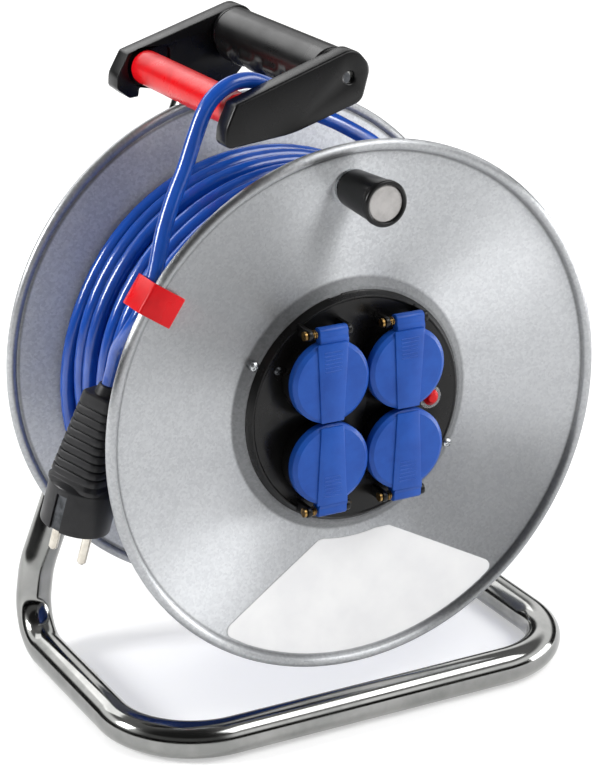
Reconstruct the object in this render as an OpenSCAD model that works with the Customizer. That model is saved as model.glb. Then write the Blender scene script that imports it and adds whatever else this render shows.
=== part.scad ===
// Extension cord reel: a steel drum with a cord winding, turning on a bent-tube stand.
// Millimetres. +X right, +Y to the rear along the drum's axle, +Z up, ground at Z = 0.

/* [Drum] */
// Outside radius of both drum flanges
flange_r = 145; // [143:0.5:147]
// Gap between the drum and the ground
drum_clear = 28; // [27:1:45]
// Length of the drum over the rims of its flanges
drum_len = 136; // [132:1:137]
// Radius of the rolled bead along each flange's edge
bead_r = 2.8; // [2.2:0.1:3]
// Thickness of the flange sheet
sheet_t = 1.2; // [0.8:0.1:1.5]
// How far the flange's cone runs back from its crease to the core
dish_depth = 9.8; // [6:0.1:11]
// Width of the flange's rim, from its crease to its outer edge
rim_w = 11; // [9:0.5:14]

/* [Winding] */
// Diameter of the cord
cord_d = 8.2; // [7.8:0.1:8.4]
// Radius of the centreline of the outer layer of turns
layer_r = 111; // [108:0.5:111.5]
// Distance between neighbouring turns of the outer layer
layer_pitch = 11.2; // [9.2:0.1:11.4]
// Width of the uneven gap that the outer layer leaves
layer_gap = 6.5; // [0:0.5:7]

/* [Socket insert] */
// Radius of the black socket plate
plate_r = 63.6; // [63:0.1:65.2]
// Thickness of the socket plate
plate_t = 3.3; // [2.8:0.1:3.6]
// Distance between the centres of neighbouring sockets
socket_pitch = 45.2; // [44.8:0.1:46]
// Radius of a socket's well
well_r = 19.75; // [19.5:0.05:20]
// Depth of a socket's well
well_depth = 17.5; // [17:0.1:18]
// Wall of a socket's well
well_wall = 1.55; // [1.3:0.05:1.7]
// How far a socket's well stands out of the plate
well_proud = 8.5; // [7:0.1:9]
// Radius of a socket lid
lid_r = 22.3; // [22:0.1:22.4]
// Thickness of a socket lid
lid_t = 6.2; // [5:0.1:7]
// Distance from a lid's centre to its hinge
hinge_reach = 26; // [25.8:0.1:26.4]
// Distance between a plug's two pins
pin_pitch = 19; // [18.8:0.1:19.2]

/* [Crank knob] */
// Distance from the flange's crease in to the knob's pin
knob_inset = 12.4; // [11:0.1:20]
// Angle of the knob round the drum, from the right
knob_angle = 93; // [60:1:120]
// Length of the knob
knob_len = 38; // [30:0.5:42]
// Radius of the knob at its outer end
knob_r = 12; // [11:0.1:13]

/* [Stand] */
// Radius of the stand's tube
tube_r = 10; // [9:0.1:11]
// Wall of the stand's tube
tube_wall = 1.2; // [1:0.1:2]
// Width of the stand's base between tube centres
base_w = 264; // [250:1:276]
// Distance from the drum's front rim forward to the front tube's centre
base_front = 11; // [11:0.5:25]
// Distance from the drum's rear rim back to the uprights' centres
upright_gap = 16; // [15.5:0.5:20]

/* [Handle] */
// Height of the grip's axis above the drum's top
grip_rise = 31.5; // [29:0.5:39]
// Sideways place of the grip's axis
grip_x = -8; // [-12:0.5:-4]
// Radius of the grip
grip_r = 13.2; // [12.6:0.1:15]
// Thickness of each handle arm
arm_t = 12; // [10:0.5:13]
// Radius of the cord guide roller
roller_r = 9.2; // [8:0.1:9.4]
// Radius of the pin that the guide roller turns on
roller_pin_r = 3.2; // [2.5:0.1:4]

/* [Axle] */
// Radius of the axle that the drum turns on
axle_r = 10; // [8:0.1:11]
// Radial running clearance between a shaft and its bush
run_gap = 0.05; // [0.03:0.01:0.08]

/* [Hidden] */

// Facets of round parts: above 12 they are rebuilt as true circles.
$fn = 64;

// Clearances between pieces
fit_gap = 0.1;        // between fixed pieces that seat in each other
seat_gap = 0.02;      // between a fixed pin and its hole
soft_gap = 0.35;      // round the cord and between bodies that pass each other
end_play = 0.4;       // of the drum along its axle and of the rollers along their pins

// Flange section: radius and distance back from the rim's plane, along its front face
crease_r = flange_r - rim_w;
bead_c = [flange_r - bead_r, bead_r];
crease_y = 4.2;
step_r = plate_r + 6;
step_y = crease_y + dish_depth;
land_r = plate_r + 1.6;
land_y = step_y - 3.4;
mouth_r = plate_r - 2.8;
core_r = step_r - 0.4;                              // outside of the drum's core
knob_reach = crease_r - knob_inset;
function face_y(r) = crease_y + (crease_r - r) / (crease_r - step_r) * dish_depth;
washer_r = 9;                                       // of the washer between the knob and the flange
washer_t = 1.8;
washer_front = face_y(knob_reach + washer_r) - 0.2 - washer_t;

// Heights above the ground and above the drum's axis
axis_h = flange_r + drum_clear;
grip_h = flange_r + grip_rise;

// Places along the drum's axis, measured back from the front rim's plane
knob_front = -(knob_len - face_y(knob_reach));
frame_back_y = drum_len + upright_gap;              // plane of the uprights' centres
nut_t = 4;
rearmost = frame_back_y + tube_r + nut_t;
// The front rim's plane lies so that the origin is midway between the knob's end and the rearmost nuts.
rim_y = -(knob_front + rearmost) / 2;

// Socket insert
plate_front = land_y - fit_gap - plate_t;
well_front = plate_front - well_proud;
well_out_r = well_r + well_wall;
floor_t = 3;
floor_back = well_front + well_depth + floor_t;
carrier_t = 16;                                     // the contact carrier behind a well's floor
carrier_r = 15.8;
cover_r = mouth_r - 1.5;
cover_wall = 1.8;
post_r = 2.5;                                       // posts inside the cover that take the plate's screws
cover_back = floor_back + carrier_t + 12;
socket_x = [-1, 1, -1, 1] * socket_pitch / 2;
socket_z = [1, 1, -1, -1] * socket_pitch / 2;
pin_r = 2.4;
sleeve_r = 3.05;

// Socket lids
lid_gap = 0.3;
lid_back = well_front - lid_gap;
lid_front = lid_back - lid_t;
band_proud = 1;
band_hinge_w = 17.8;
band_end_w = 13.4;
lid_wall = 1.6;
knuckle_r = 3.4;
knuckle_w = 16.4;
knuckle_x = 1.6;                                    // the knuckle sits right of centre, beside its spring
hinge_y = lid_back - 1.6;
hinge_pin_r = 1.3;
ear_w = 2.4;
ear_x = 10.2;                                       // inner faces of a hinge's two ears

// Thermal cut-out
breaker_x = 43.6;
breaker_z = -0.8;
button_r = 4.4;
button_travel = 2;

// Screws
plate_screw_r = cover_r - 5.1;
plate_screw_at = [148.5, 328.5];
flange_screw_r = step_r - 3.3;
flange_screw_at = [151.5, 331.5];
pad_r = 2.6;
pad_front = land_y - 0.15;

// Stand: route of the tube's centre as corners and bend radii
base_shift = 2;
left_x = base_shift - base_w / 2;
right_x = base_shift + base_w / 2;
ground_z = tube_r - axis_h;
arm_front_y = 8;                                    // outer face of the front arm
arm_back_y = drum_len - 5;                          // inner face of the rear arm
lead_end = 23;                                      // how far the hub end of the tube stops below the axis
tube_route = [
    [grip_x, arm_front_y + 3, grip_h],
    [grip_x, frame_back_y, grip_h],
    [left_x + 5.5, frame_back_y, ground_z + 41],
    [left_x, frame_back_y, ground_z],
    [left_x, -base_front, ground_z],
    [right_x, -base_front, ground_z],
    [right_x, frame_back_y, ground_z],
    [lead_end, frame_back_y, lead_end * ground_z / right_x]
];
tube_bends = [0, 24, 60, 27, 48, 48, 40, 0];

// Hub bracket and its bolts
bracket_t = 3.6;
bracket_back = frame_back_y - tube_r - fit_gap;
bolt_r = 3;
function left_upright_x(z) = let (a = tube_route[1], b = tube_route[2])
    a[0] + (z - a[2]) / (b[2] - a[2]) * (b[0] - a[0]);
function right_upright_x(z) = let (a = tube_route[7], b = tube_route[6])
    a[0] + (z - a[2]) / (b[2] - a[2]) * (b[0] - a[0]);
bolt_at = [
    [left_upright_x(20), 20], [left_upright_x(-20), -20],
    [right_upright_x(-46), -46], [right_upright_x(-74), -74]
];

// Handle
arm_end_r = tube_r + 3.5;
roller_at = [grip_x - 52, grip_h - 14.2];
roller_y0 = arm_front_y + arm_t + end_play;
roller_y1 = arm_back_y - end_play;
ridge_y = [for (i = [3 : -1 : 0]) arm_back_y - 14 - 26.5 * i];   // finger ridges along the grip
// Top left corner, lower left tip, and the arm's belly: centre and radius of each round
arm_rounds = [
    [grip_x - 57, grip_h - 12.3, 4], [grip_x - 61.3, grip_h - 22.7, 5.4], [grip_x - 22, grip_h - 9, 14]
];

// Bush
bush_flange_t = 5;
back_plate_y = drum_len - step_y;                   // outer face of the rear flange's middle
bush_len = 36;
bush_r = axle_r + 5;
bush_screw_r = bush_r + 6;
bush_screw_at = [90, 210, 330];
shoulder_y = back_plate_y + bush_flange_t + end_play;

// Winding
cord_r = cord_d / 2;
winding_start_y = face_y(layer_r) + sheet_t + soft_gap + cord_r + 1.2;
winding_end_y = drum_len - winding_start_y + 0.5;
layer_turns = floor((winding_end_y - winding_start_y - layer_gap) / layer_pitch);
lift_r = layer_r + cord_d + 0.5;                    // centreline of the last turn, over the others
exit_at = 34;                                       // angle at which the cord leaves the drum
exit_y = 84;                                        // where along the drum it leaves
lift_turns = 0.62;                                  // part of a turn that rises and crosses back
rings_a_turn = 24;

// The cord's points are measured from the hub's axis and the front rim, and chosen by hand: first
// its last stretch that lies over the winding and turns with the drum, then its free stretch.
lead_route_chosen = [[84.5, 82, 87], [75, 78, 96.5], [60, 71, 109.5], [41, 61, 123.5]];
free_route_chosen = [
    [23, 51.2, 135.2], [5.4, 42.2, 145.2], [-10.4, 34.6, 153.2], [-22.3, 29.3, 160.6],
    [-33.2, 26, 168], [-44, 24.6, 174], [-53.5, 24.5, 177.1], [-63.5, 24.5, 176.1],
    [-72.3, 24.5, 171.1], [-78.3, 24.5, 163.5], [-84, 24, 151], [-90.4, 22, 137], [-97.8, 20, 123.2],
    [-105, 17.2, 107.2], [-110.6, 14, 90.4], [-115.6, 12.4, 77.6], [-121.2, 13.2, 66.8],
    [-125.2, 18.2, 56.8], [-126.8, 25.8, 47.4]
];

// Plug: where its boot ends on the cord, and how it hangs
plug_top = [-131.1, 32.5, 19.7];
plug_tilt = 14.5;
plug_heading = -29.4;
plug_spin = -32;
collar_len = 8;
boot_len = 46;
face_len = 25;
plug_len = boot_len + face_len;
plug_up = [cos(plug_heading) * sin(plug_tilt), sin(plug_heading) * sin(plug_tilt), cos(plug_tilt)];
plug_r = 18.4;

// ---------- helpers ----------

module at_hub() translate([0, rim_y, axis_h]) children();
// Turns a shape made round Z so that it lies round the drum's axis, with its height going back.
module about_y() rotate([-90, 0, 0]) children();
module rod(r, y0, y1, x = 0, z = 0) translate([x, y0, z]) about_y() cylinder(r = r, h = y1 - y0);
module ring(r_out, r_in, y0, y1, x = 0, z = 0) translate([x, y0, z]) about_y() linear_extrude(y1 - y0)
    difference() { circle(r_out); circle(r_in); }
// A flat outline drawn in X and Z, from y0 back to y1.
module slab(y0, y1) translate([0, y1, 0]) rotate([90, 0, 0]) linear_extrude(y1 - y0) children();
module block(x0, x1, y0, y1, z0, z1) translate([x0, y0, z0]) cube([x1 - x0, y1 - y0, z1 - z0]);
module polar_copies(angles) for (a = angles) rotate([0, -a, 0]) children();

function unit(v) = v / norm(v);
function lerp(a, b, t) = a + (b - a) * t;
function ease(t) = let (u = max(0, min(1, t))) u * u * (3 - 2 * u);

// Puts local X, Y and Z along three square directions, at a point.
module placed(x, y, z, o) multmatrix([
    [x[0], y[0], z[0], o[0]], [x[1], y[1], z[1], o[1]], [x[2], y[2], z[2], o[2]], [0, 0, 0, 1]
]) children();

function some_normal(d) = unit(cross(d, abs(d[2]) < 0.9 ? [0, 0, 1] : [1, 0, 0]));

// Length that a bend takes off each straight at a corner of the route.
function bend_cut(route, bends, i) = (i == 0 || i == len(route) - 1) ? 0 :
    let (a = unit(route[i] - route[i - 1]), b = unit(route[i + 1] - route[i]))
    bends[i] * tan(acos(a * b) / 2);

// A bent round bar, or a tube if it has a bore. Its straights lap into its bends, which are a hair
// thinner in their walls so that no two surfaces coincide.
lap = 0.5;
hair = 0.02;
module bent(route, bends, r, bore = 0) {
    last = len(route) - 1;
    for (i = [0 : last - 1]) {
        d = unit(route[i + 1] - route[i]);
        p = route[i] + d * (bend_cut(route, bends, i) - (i == 0 ? 0 : lap));
        q = route[i + 1] - d * (bend_cut(route, bends, i + 1) - (i == last - 1 ? 0 : lap));
        n = some_normal(d);
        placed(n, cross(d, n), d, p) linear_extrude(norm(q - p)) difference() {
            circle(r);
            if (bore > 0) circle(bore);
        }
    }
    for (i = [1 : last - 1]) {
        a = unit(route[i] - route[i - 1]);
        b = unit(route[i + 1] - route[i]);
        n = unit(b - a * (a * b));
        start = route[i] - a * bend_cut(route, bends, i);
        placed(-n, a, cross(a, n), start + n * bends[i]) rotate_extrude(angle = acos(a * b))
            translate([bends[i], 0]) difference() {
                circle(r - hair);
                if (bore > 0) circle(bore + hair);
            }
    }
}

// A tube swept through points by rings of a few sides, closed at both ends.
function path_dir(p, i) = unit(p[min(i + 1, len(p) - 1)] - p[max(i - 1, 0)]);
function path_sides(p) = [
    for (i = 0, s = some_normal(path_dir(p, 0)); i < len(p);
         i = i + 1, s = i < len(p) ? unit(s - path_dir(p, i) * (path_dir(p, i) * s)) : s) s
];
module swept(p, r, sides) {
    side = path_sides(p);
    n = len(p);
    rings = [
        for (i = [0 : n - 1], k = [0 : sides - 1])
            let (a = 360 * k / sides, s = side[i], t = cross(path_dir(p, i), s))
            p[i] + r * (cos(a) * s + sin(a) * t)
    ];
    walls = [
        for (i = [0 : n - 2], k = [0 : sides - 1], half = [0, 1])
            let (a = i * sides + k, b = i * sides + (k + 1) % sides)
            half == 0 ? [a, a + sides, b] : [b, a + sides, b + sides]
    ];
    ends = [
        for (k = [1 : sides - 2], end = [0, 1])
            let (o = (n - 1) * sides) end == 0 ? [0, k, k + 1] : [o, o + k + 1, o + k]
    ];
    polyhedron(points = rings, faces = concat(walls, ends), convexity = 10);
}
// Least distance between the surfaces of turns that are at least half a turn apart.
function least_gap(p, d, apart) = min([
    for (i = [0 : len(p) - 1 - apart], j = [i + apart : len(p) - 1]) norm(p[i] - p[j])
]) - d;

// ---------- stand ----------

module frame_tube() color("silver") at_hub() difference() {
    bent(tube_route, tube_bends, tube_r, tube_r - tube_wall);
    for (b = bolt_at) rod(bolt_r + fit_gap, bracket_back - 1, rearmost + 1, b[0], b[1]);
}

// Plastic plug in the tube's open end beside the hub.
module tube_end_cap() color("black") at_hub() {
    d = unit(tube_route[7] - tube_route[6]);
    n = some_normal(d);
    placed(n, cross(d, n), d, tube_route[7]) union() {
        cylinder(r = tube_r, h = 2.5);
        translate([0, 0, -9]) cylinder(r = tube_r - tube_wall - fit_gap, h = 9);
    }
}

// Threaded insert in the tube's front end, which the handle's screw bites into.
module grip_insert() color("dimgray") at_hub() ring(tube_r - tube_wall - fit_gap, 2.6,
    tube_route[0][1] + 0.5, tube_route[0][1] + 22.5, grip_x, grip_h);

module hub_bracket() color("gainsboro") at_hub() difference() {
    slab(bracket_back - bracket_t, bracket_back) hull() {
        for (b = bolt_at) translate([b[0], b[1]]) circle(11, $fn = 32);
        circle(24, $fn = 32);
    }
    rod(axle_r - 2 + fit_gap, bracket_back - bracket_t - 1, bracket_back + 1);
    for (b = bolt_at) rod(bolt_r + fit_gap, bracket_back - bracket_t - 1, bracket_back + 1, b[0], b[1]);
}

module bracket_bolts() color("silver") at_hub() for (b = bolt_at) {
    head_y = bracket_back - bracket_t - fit_gap;
    rod(bolt_r, head_y, rearmost, b[0], b[1]);
    rod(5.6, head_y - 3.4, head_y, b[0], b[1]);
}

module bracket_nuts() color("silver") at_hub() for (b = bolt_at)
    translate([b[0], rearmost - nut_t + fit_gap, b[1]]) about_y() linear_extrude(nut_t - 2 * fit_gap)
        difference() { circle(5.8, $fn = 6); circle(bolt_r + seat_gap, $fn = 64); }

// Stepped axle: a thin tail through the bracket, a shoulder against it, and the drum's journal.
module axle() color("silver") at_hub() {
    front = back_plate_y - bush_len - 6;
    difference() {
        rod(axle_r, front, shoulder_y);
        ring(axle_r + 1, axle_r - 1.2, front + 2.2, front + 4);
    }
    rod(bush_r, shoulder_y, bracket_back - bracket_t - fit_gap);
    rod(axle_r - 2, bracket_back - bracket_t - fit_gap, bracket_back + 12);
}

module axle_nut() color("silver") at_hub() translate([0, bracket_back + fit_gap, 0]) about_y()
    linear_extrude(7) difference() { circle(axle_r + 4, $fn = 6); circle(axle_r - 2 + seat_gap, $fn = 64); }

module axle_washer() color("silver") at_hub() {
    back = back_plate_y - bush_len - end_play / 2;
    ring(bush_r - 0.5, axle_r + fit_gap, back - 1.4, back);
}

// Snap ring in the axle's groove, in front of the washer.
module axle_clip() color("dimgray") at_hub() {
    front = back_plate_y - bush_len - 6;
    difference() {
        ring(axle_r + 2.4, axle_r - 1.1, front + 2.4, front + 3.8);
        block(-3, 3, front, front + 6, -axle_r - 4, 0);
    }
}

// ---------- handle ----------

// An arm's outline, whose left end may lie a little further right.
module arm_outline(inset) hull() {
    translate([grip_x, grip_h]) circle(arm_end_r, $fn = 48);
    for (c = arm_rounds) translate([c[0] + inset, c[1]]) circle(c[2], $fn = 32);
}

module roller_hole(y0, y1) rod(roller_pin_r + seat_gap, y0, y1, roller_at[0], roller_at[1]);

module handle_arm_front() color([0.12, 0.12, 0.13]) at_hub() difference() {
    slab(arm_front_y, arm_front_y + arm_t) arm_outline(1.2);
    rod(tube_r + fit_gap, tube_route[0][1] - fit_gap, arm_front_y + arm_t + 1, grip_x, grip_h);
    rod(2.7, arm_front_y - 1, arm_front_y + arm_t, grip_x, grip_h);
    rod(3.4, arm_front_y - 1, arm_front_y + 1.6, grip_x, grip_h);
    roller_hole(arm_front_y + 4, arm_front_y + arm_t + 1);
}

// The rear arm has a tongue that saddles the tube where it turns down.
module handle_arm_back() color([0.12, 0.12, 0.13]) at_hub() difference() {
    slab(arm_back_y, arm_back_y + arm_t) union() {
        arm_outline(2.8);
        hull() {
            translate([grip_x - 16.5, grip_h - 25]) circle(4.5, $fn = 32);
            translate([grip_x - 5.5, grip_h - 25]) circle(4.5, $fn = 32);
            translate([grip_x - 10, grip_h - 6]) circle(8, $fn = 32);
        }
    }
    bent([for (i = [0 : 2]) tube_route[i]], [0, tube_bends[1], 0], tube_r + fit_gap);
    roller_hole(arm_back_y - 1, arm_back_y + arm_t - 4);
}

module grip_sleeve() color([0.14, 0.14, 0.15]) at_hub() {
    y0 = arm_front_y + arm_t + fit_gap;
    y1 = arm_back_y - fit_gap;
    difference() {
        union() {
            rod(grip_r, y0, y1, grip_x, grip_h);
            for (y = ridge_y) translate([grip_x, y, grip_h]) about_y() rotate([0, 0, 20])
                rotate_extrude(angle = 130)
                    polygon([[grip_r - 1, -9], [grip_r + 0.4, -9], [grip_r + 2.6, -5],
                             [grip_r + 2.6, 5], [grip_r + 0.4, 9], [grip_r - 1, 9]]);
        }
        bent([for (i = [0 : 2]) tube_route[i]], [0, tube_bends[1], 0], tube_r + fit_gap);
    }
}

module handle_screw() color("silver") at_hub() {
    rod(3.1, arm_front_y + 0.4, arm_front_y + 1.5, grip_x, grip_h);
    rod(2.5, arm_front_y + 1.5, arm_front_y + 20, grip_x, grip_h);
}

module roller_pin() color("silver") at_hub()
    rod(roller_pin_r, arm_front_y + 4.2, arm_back_y + arm_t - 4.2, roller_at[0], roller_at[1]);

module guide_roller() color("red") at_hub() translate([roller_at[0], 0, roller_at[1]]) about_y()
    rotate_extrude() polygon([
        [roller_pin_r + run_gap, roller_y0], [roller_r - 1, roller_y0], [roller_r, roller_y0 + 1],
        [roller_r, roller_y1 - 1], [roller_r - 1, roller_y1], [roller_pin_r + run_gap, roller_y1]
    ]);

// ---------- drum ----------

module flange_sheet(inner) about_y() {
    rotate_extrude($fn = 128) translate(bead_c) circle(bead_r);
    rotate_extrude($fn = 128) polygon(concat(
        [[bead_c[0] - 1, 2], [crease_r + 2.5, crease_y - 1.2], [crease_r, crease_y]],
        [[step_r, step_y]], inner,
        [for (i = [len(inner) - 1 : -1 : 0]) inner[i] + [0, sheet_t]],
        [[step_r, step_y + sheet_t], [crease_r, crease_y + sheet_t],
         [crease_r + 2.5, crease_y - 1.2 + sheet_t], [bead_c[0] - 1, 2 + sheet_t]]
    ));
}

// The front flange steps forward to a land that carries the socket plate.
module front_flange() color("lightgray") at_hub() difference() {
    union() {
        flange_sheet([[land_r, land_y], [mouth_r, land_y]]);
        polar_copies(flange_screw_at) rod(pad_r, pad_front, step_y + sheet_t / 2, flange_screw_r);
    }
    polar_copies(flange_screw_at) rod(1.7, land_y - 1, step_y + 3, flange_screw_r);
    polar_copies([knob_angle]) rod(3.1, -1, step_y + 3, knob_reach);
}

module back_flange() color("lightgray") at_hub() difference() {
    translate([0, drum_len, 0]) mirror([0, 1, 0]) flange_sheet([[bush_r + fit_gap, step_y]]);
    polar_copies(bush_screw_at) rod(1.7, back_plate_y - 4, back_plate_y + 2, bush_screw_r);
}

grommet_at = 250;                                   // angle of the cord's entry through the core
grommet_y = 80;
module drum_core() color("darkgray") at_hub() difference() {
    ring(core_r, core_r - sheet_t, land_y + sheet_t + 3.2, back_plate_y - sheet_t - fit_gap);
    rotate([0, -grommet_at, 0]) translate([0, grommet_y, 0]) rotate([0, 90, 0]) cylinder(r = 6, h = 100);
}

module hub_bush() color("dimgray") at_hub() {
    bore = axle_r + run_gap;
    difference() {
        union() {
            ring(bush_r, bore, back_plate_y - bush_len, back_plate_y);
            ring(bush_r + 11, bore, back_plate_y + fit_gap, back_plate_y + bush_flange_t);
            ring(bush_r, bore, back_plate_y, back_plate_y + fit_gap);
        }
        polar_copies(bush_screw_at) rod(1.7, back_plate_y - 1, shoulder_y + 1, bush_screw_r);
    }
}

module bush_screws() color("silver") at_hub() polar_copies(bush_screw_at) {
    rod(3, back_plate_y + bush_flange_t, back_plate_y + bush_flange_t + 1.8, bush_screw_r);
    rod(1.6, back_plate_y - 6, back_plate_y + bush_flange_t, bush_screw_r);
}

// ---------- winding ----------

module winding_core() color([0.12, 0.26, 0.6]) at_hub() about_y() rotate_extrude($fn = 96) {
    r0 = core_r + soft_gap;
    r1 = layer_r * cos(180 / rings_a_turn) - cord_r - soft_gap;
    back = sheet_t + soft_gap;
    polygon([
        [r0, face_y(step_r) + back], [r1, face_y(r1) + back],
        [r1, drum_len - face_y(r1) - back], [r0, drum_len - face_y(step_r) - back]
    ]);
}

// Centreline of the outer layer: a helix with one wide step, then a lift across the others.
wind_total = layer_turns + lift_turns;
wind_start_at = exit_at - 360 * wind_total;
wind_rings = ceil(wind_total * rings_a_turn);
function wind_y(t) = t < layer_turns
    ? winding_start_y + layer_pitch * t + layer_gap * ease((t - 6.35) / 0.6)
    : lerp(winding_start_y + layer_pitch * layer_turns + layer_gap, exit_y,
           ease((t - layer_turns) / lift_turns));
function wind_r(t) = lerp(layer_r, lift_r, ease((t - layer_turns + 0.06) / 0.2));
exit_point = [lift_r * cos(exit_at), exit_y, lift_r * sin(exit_at)];
exit_dir = [-sin(exit_at), 0, cos(exit_at)];
wind_points = concat(
    [for (i = [1 : wind_rings])
        let (t = wind_total - (wind_rings - i) / rings_a_turn, a = wind_start_at + 360 * t)
        [wind_r(t) * cos(a), wind_y(t), wind_r(t) * sin(a)]],
    [exit_point + exit_dir * cord_d], lead_route_chosen
);
// The free cord starts a hair past the winding's end, square to it.
lead_end_dir = unit(lead_route_chosen[3] - lead_route_chosen[2]);
free_start = lead_route_chosen[3] + lead_end_dir * 0.1;
free_route = concat(
    [free_start, free_start + lead_end_dir * cord_d], free_route_chosen,
    [plug_top + plug_up * (collar_len + cord_d), plug_top + plug_up * (collar_len + seat_gap)]
);
echo(least_gap_between_turns = least_gap(wind_points, cord_d, rings_a_turn / 2));

module winding_top() color([0.13, 0.3, 0.7]) at_hub() swept(wind_points, cord_r, 6);

// Grommet in the core where the cord's inner end goes in.
module at_grommet() rotate([0, -grommet_at, 0]) translate([0, grommet_y, 0]) rotate([0, 90, 0]) children();
module cord_grommet() color("black") at_hub() at_grommet() rotate_extrude() polygon([
    [cord_r + fit_gap, core_r - 6], [8, core_r - 6], [8, core_r - sheet_t - fit_gap - 1],
    [5.9, core_r - sheet_t - fit_gap - 1], [5.9, core_r - 0.5], [cord_r + fit_gap, core_r - 0.5]
]);

// The cord's inner end, from the grommet to the insert's rear cover.
module inner_lead() color([0.13, 0.3, 0.7]) at_hub() {
    out = [cos(grommet_at), 0, sin(grommet_at)];
    bent([out * (core_r - 1) + [0, grommet_y, 0], out * 30 + [0, grommet_y, 0],
          out * 30 + [0, cover_back - cover_wall - 4, 0]], [0, 24, 0], cord_r);
}

module terminal_block() color("ivory") at_hub() difference() {
    block(-11, 11, cover_back - cover_wall - fit_gap - 9, cover_back - cover_wall - fit_gap, -8, 8);
    for (x = [-7, 0, 7]) rod(2, cover_back - 20, cover_back - cover_wall - 5, x, 0);
}

// ---------- socket insert ----------

module at_sockets() for (i = [0 : 3]) translate([socket_x[i], 0, socket_z[i]]) children();

// Lower hinges are the upper ones turned over.
module hinged(i) translate([socket_x[i], 0, socket_z[i]]) mirror([0, 0, socket_z[i] > 0 ? 0 : 1]) children();

module hinge_ears() for (x = [-ear_x - ear_w, ear_x]) difference() {
    union() {
        rod_x(3, x, x + ear_w, hinge_y, hinge_reach);
        block(x, x + ear_w, hinge_y, plate_front + 2, hinge_reach - 3, hinge_reach + 3);
    }
    rod_x(hinge_pin_r + seat_gap, x - 1, x + ear_w + 1, hinge_y, hinge_reach);
}
module rod_x(r, x0, x1, y, z) translate([x0, y, z]) rotate([0, 90, 0]) cylinder(r = r, h = x1 - x0);

module socket_plate() color([0.1, 0.1, 0.1]) at_hub() difference() {
    union() {
        about_y() rotate_extrude($fn = 128) polygon([
            [0, plate_front], [plate_r - 2.9, plate_front], [plate_r - 0.6, plate_front + 1.6],
            [plate_r, plate_front + 2.6],
            [plate_r, plate_front + plate_t], [0, plate_front + plate_t]
        ]);
        for (i = [0 : 3]) hinged(i) hinge_ears();
    }
    at_sockets() rod(well_out_r + fit_gap, plate_front - 3, plate_front + plate_t + 1);
    rod(button_r + 0.6, plate_front - 1, plate_front + plate_t + 1, breaker_x, breaker_z);
    polar_copies(plate_screw_at) rod(1.6, plate_front - 1, plate_front + plate_t + 1, plate_screw_r);
    polar_copies(plate_screw_at) rod(2.6, plate_front - 1, plate_front + 0.8, plate_screw_r);
}

// Rear cover of the insert, with posts that take the plate's screws.
module insert_cover() color([0.15, 0.15, 0.16]) at_hub() {
    front = plate_front + plate_t + fit_gap;
    inner = cover_r - cover_wall;
    difference() {
        union() {
            about_y() rotate_extrude() polygon([
                [inner, front], [cover_r, front], [cover_r, cover_back], [0, cover_back],
                [0, cover_back - cover_wall], [inner, cover_back - cover_wall]
            ]);
            polar_copies(plate_screw_at) rod(post_r, front, cover_back - cover_wall / 2, plate_screw_r);
        }
        polar_copies(plate_screw_at) rod(1.4, front - 1, front + 12, plate_screw_r);
        rotate([0, -grommet_at, 0]) rod(cord_r + fit_gap, cover_back - 3, cover_back + 1, 30);
    }
}

module socket_cup(i) color([0.1, 0.1, 0.1]) at_hub() translate([socket_x[i], 0, socket_z[i]]) difference() {
    union() {
        rod(well_out_r, well_front, floor_back);
        rod(carrier_r, floor_back, floor_back + carrier_t);
    }
    rod(well_r, well_front - 1, floor_back - floor_t);
    for (x = [-1, 1] * pin_pitch / 2) {
        rod(pin_r + 0.3, floor_back - floor_t - 1, floor_back + 1, x);
        rod(sleeve_r + seat_gap, floor_back - 0.5, floor_back + carrier_t + 1, x);
    }
    for (s = [-1, 1]) scale([1, 1, s])
        block(-3, 3, well_front + 4, floor_back - floor_t, well_r - 2, well_out_r + 1);
}
module socket_cup_top_left() socket_cup(0);
module socket_cup_top_right() socket_cup(1);
module socket_cup_bottom_left() socket_cup(2);
module socket_cup_bottom_right() socket_cup(3);

module contact_sleeves() color("gold") at_hub() at_sockets() for (x = [-1, 1] * pin_pitch / 2)
    ring(sleeve_r, pin_r + run_gap, floor_back, floor_back + carrier_t - 1, x);

module earth_clips() color("silver") at_hub() at_sockets() for (s = [-1, 1])
    mirror([0, 0, s > 0 ? 0 : 1])
        block(-2.8, 2.8, well_front + 4.2, floor_back - floor_t - fit_gap, well_r + 0.2, well_r + 1);

// A lid: a shallow cap with a raised band that tapers away from the hinge, and its knuckle.
module lid(i) color([0.13, 0.33, 0.72]) at_hub() hinged(i) difference() {
    edge = 0.9;
    reach = hinge_reach;
    union() {
        translate([0, lid_front, 0]) about_y() rotate_extrude() polygon([
            [0, 0], [lid_r - edge, 0], [lid_r, edge], [lid_r, lid_t], [0, lid_t]
        ]);
        slab(lid_front - band_proud, lid_front + 0.5) polygon([
            [-band_hinge_w / 2, reach - 5], [band_hinge_w / 2, reach - 5], [band_end_w / 2, 1.5 - lid_r],
            [-band_end_w / 2, 1.5 - lid_r]
        ]);
        block(knuckle_x - knuckle_w / 2, knuckle_x + knuckle_w / 2, lid_front - band_proud + 0.4,
              lid_back - 0.4, reach - 8, reach - 0.5);
        rod_x(knuckle_r, knuckle_x - knuckle_w / 2, knuckle_x + knuckle_w / 2, hinge_y, reach);
    }
    rod(lid_r - lid_wall, lid_back - lid_t + 2.2, lid_back + 1);
    rod_x(hinge_pin_r + run_gap, -12, 12, hinge_y, reach);
    block(-12, 12, lid_back - 0.4, lid_back + 4, reach - 4.4, reach + 4);
}
module lid_top_left() lid(0);
module lid_top_right() lid(1);
module lid_bottom_left() lid(2);
module lid_bottom_right() lid(3);

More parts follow.
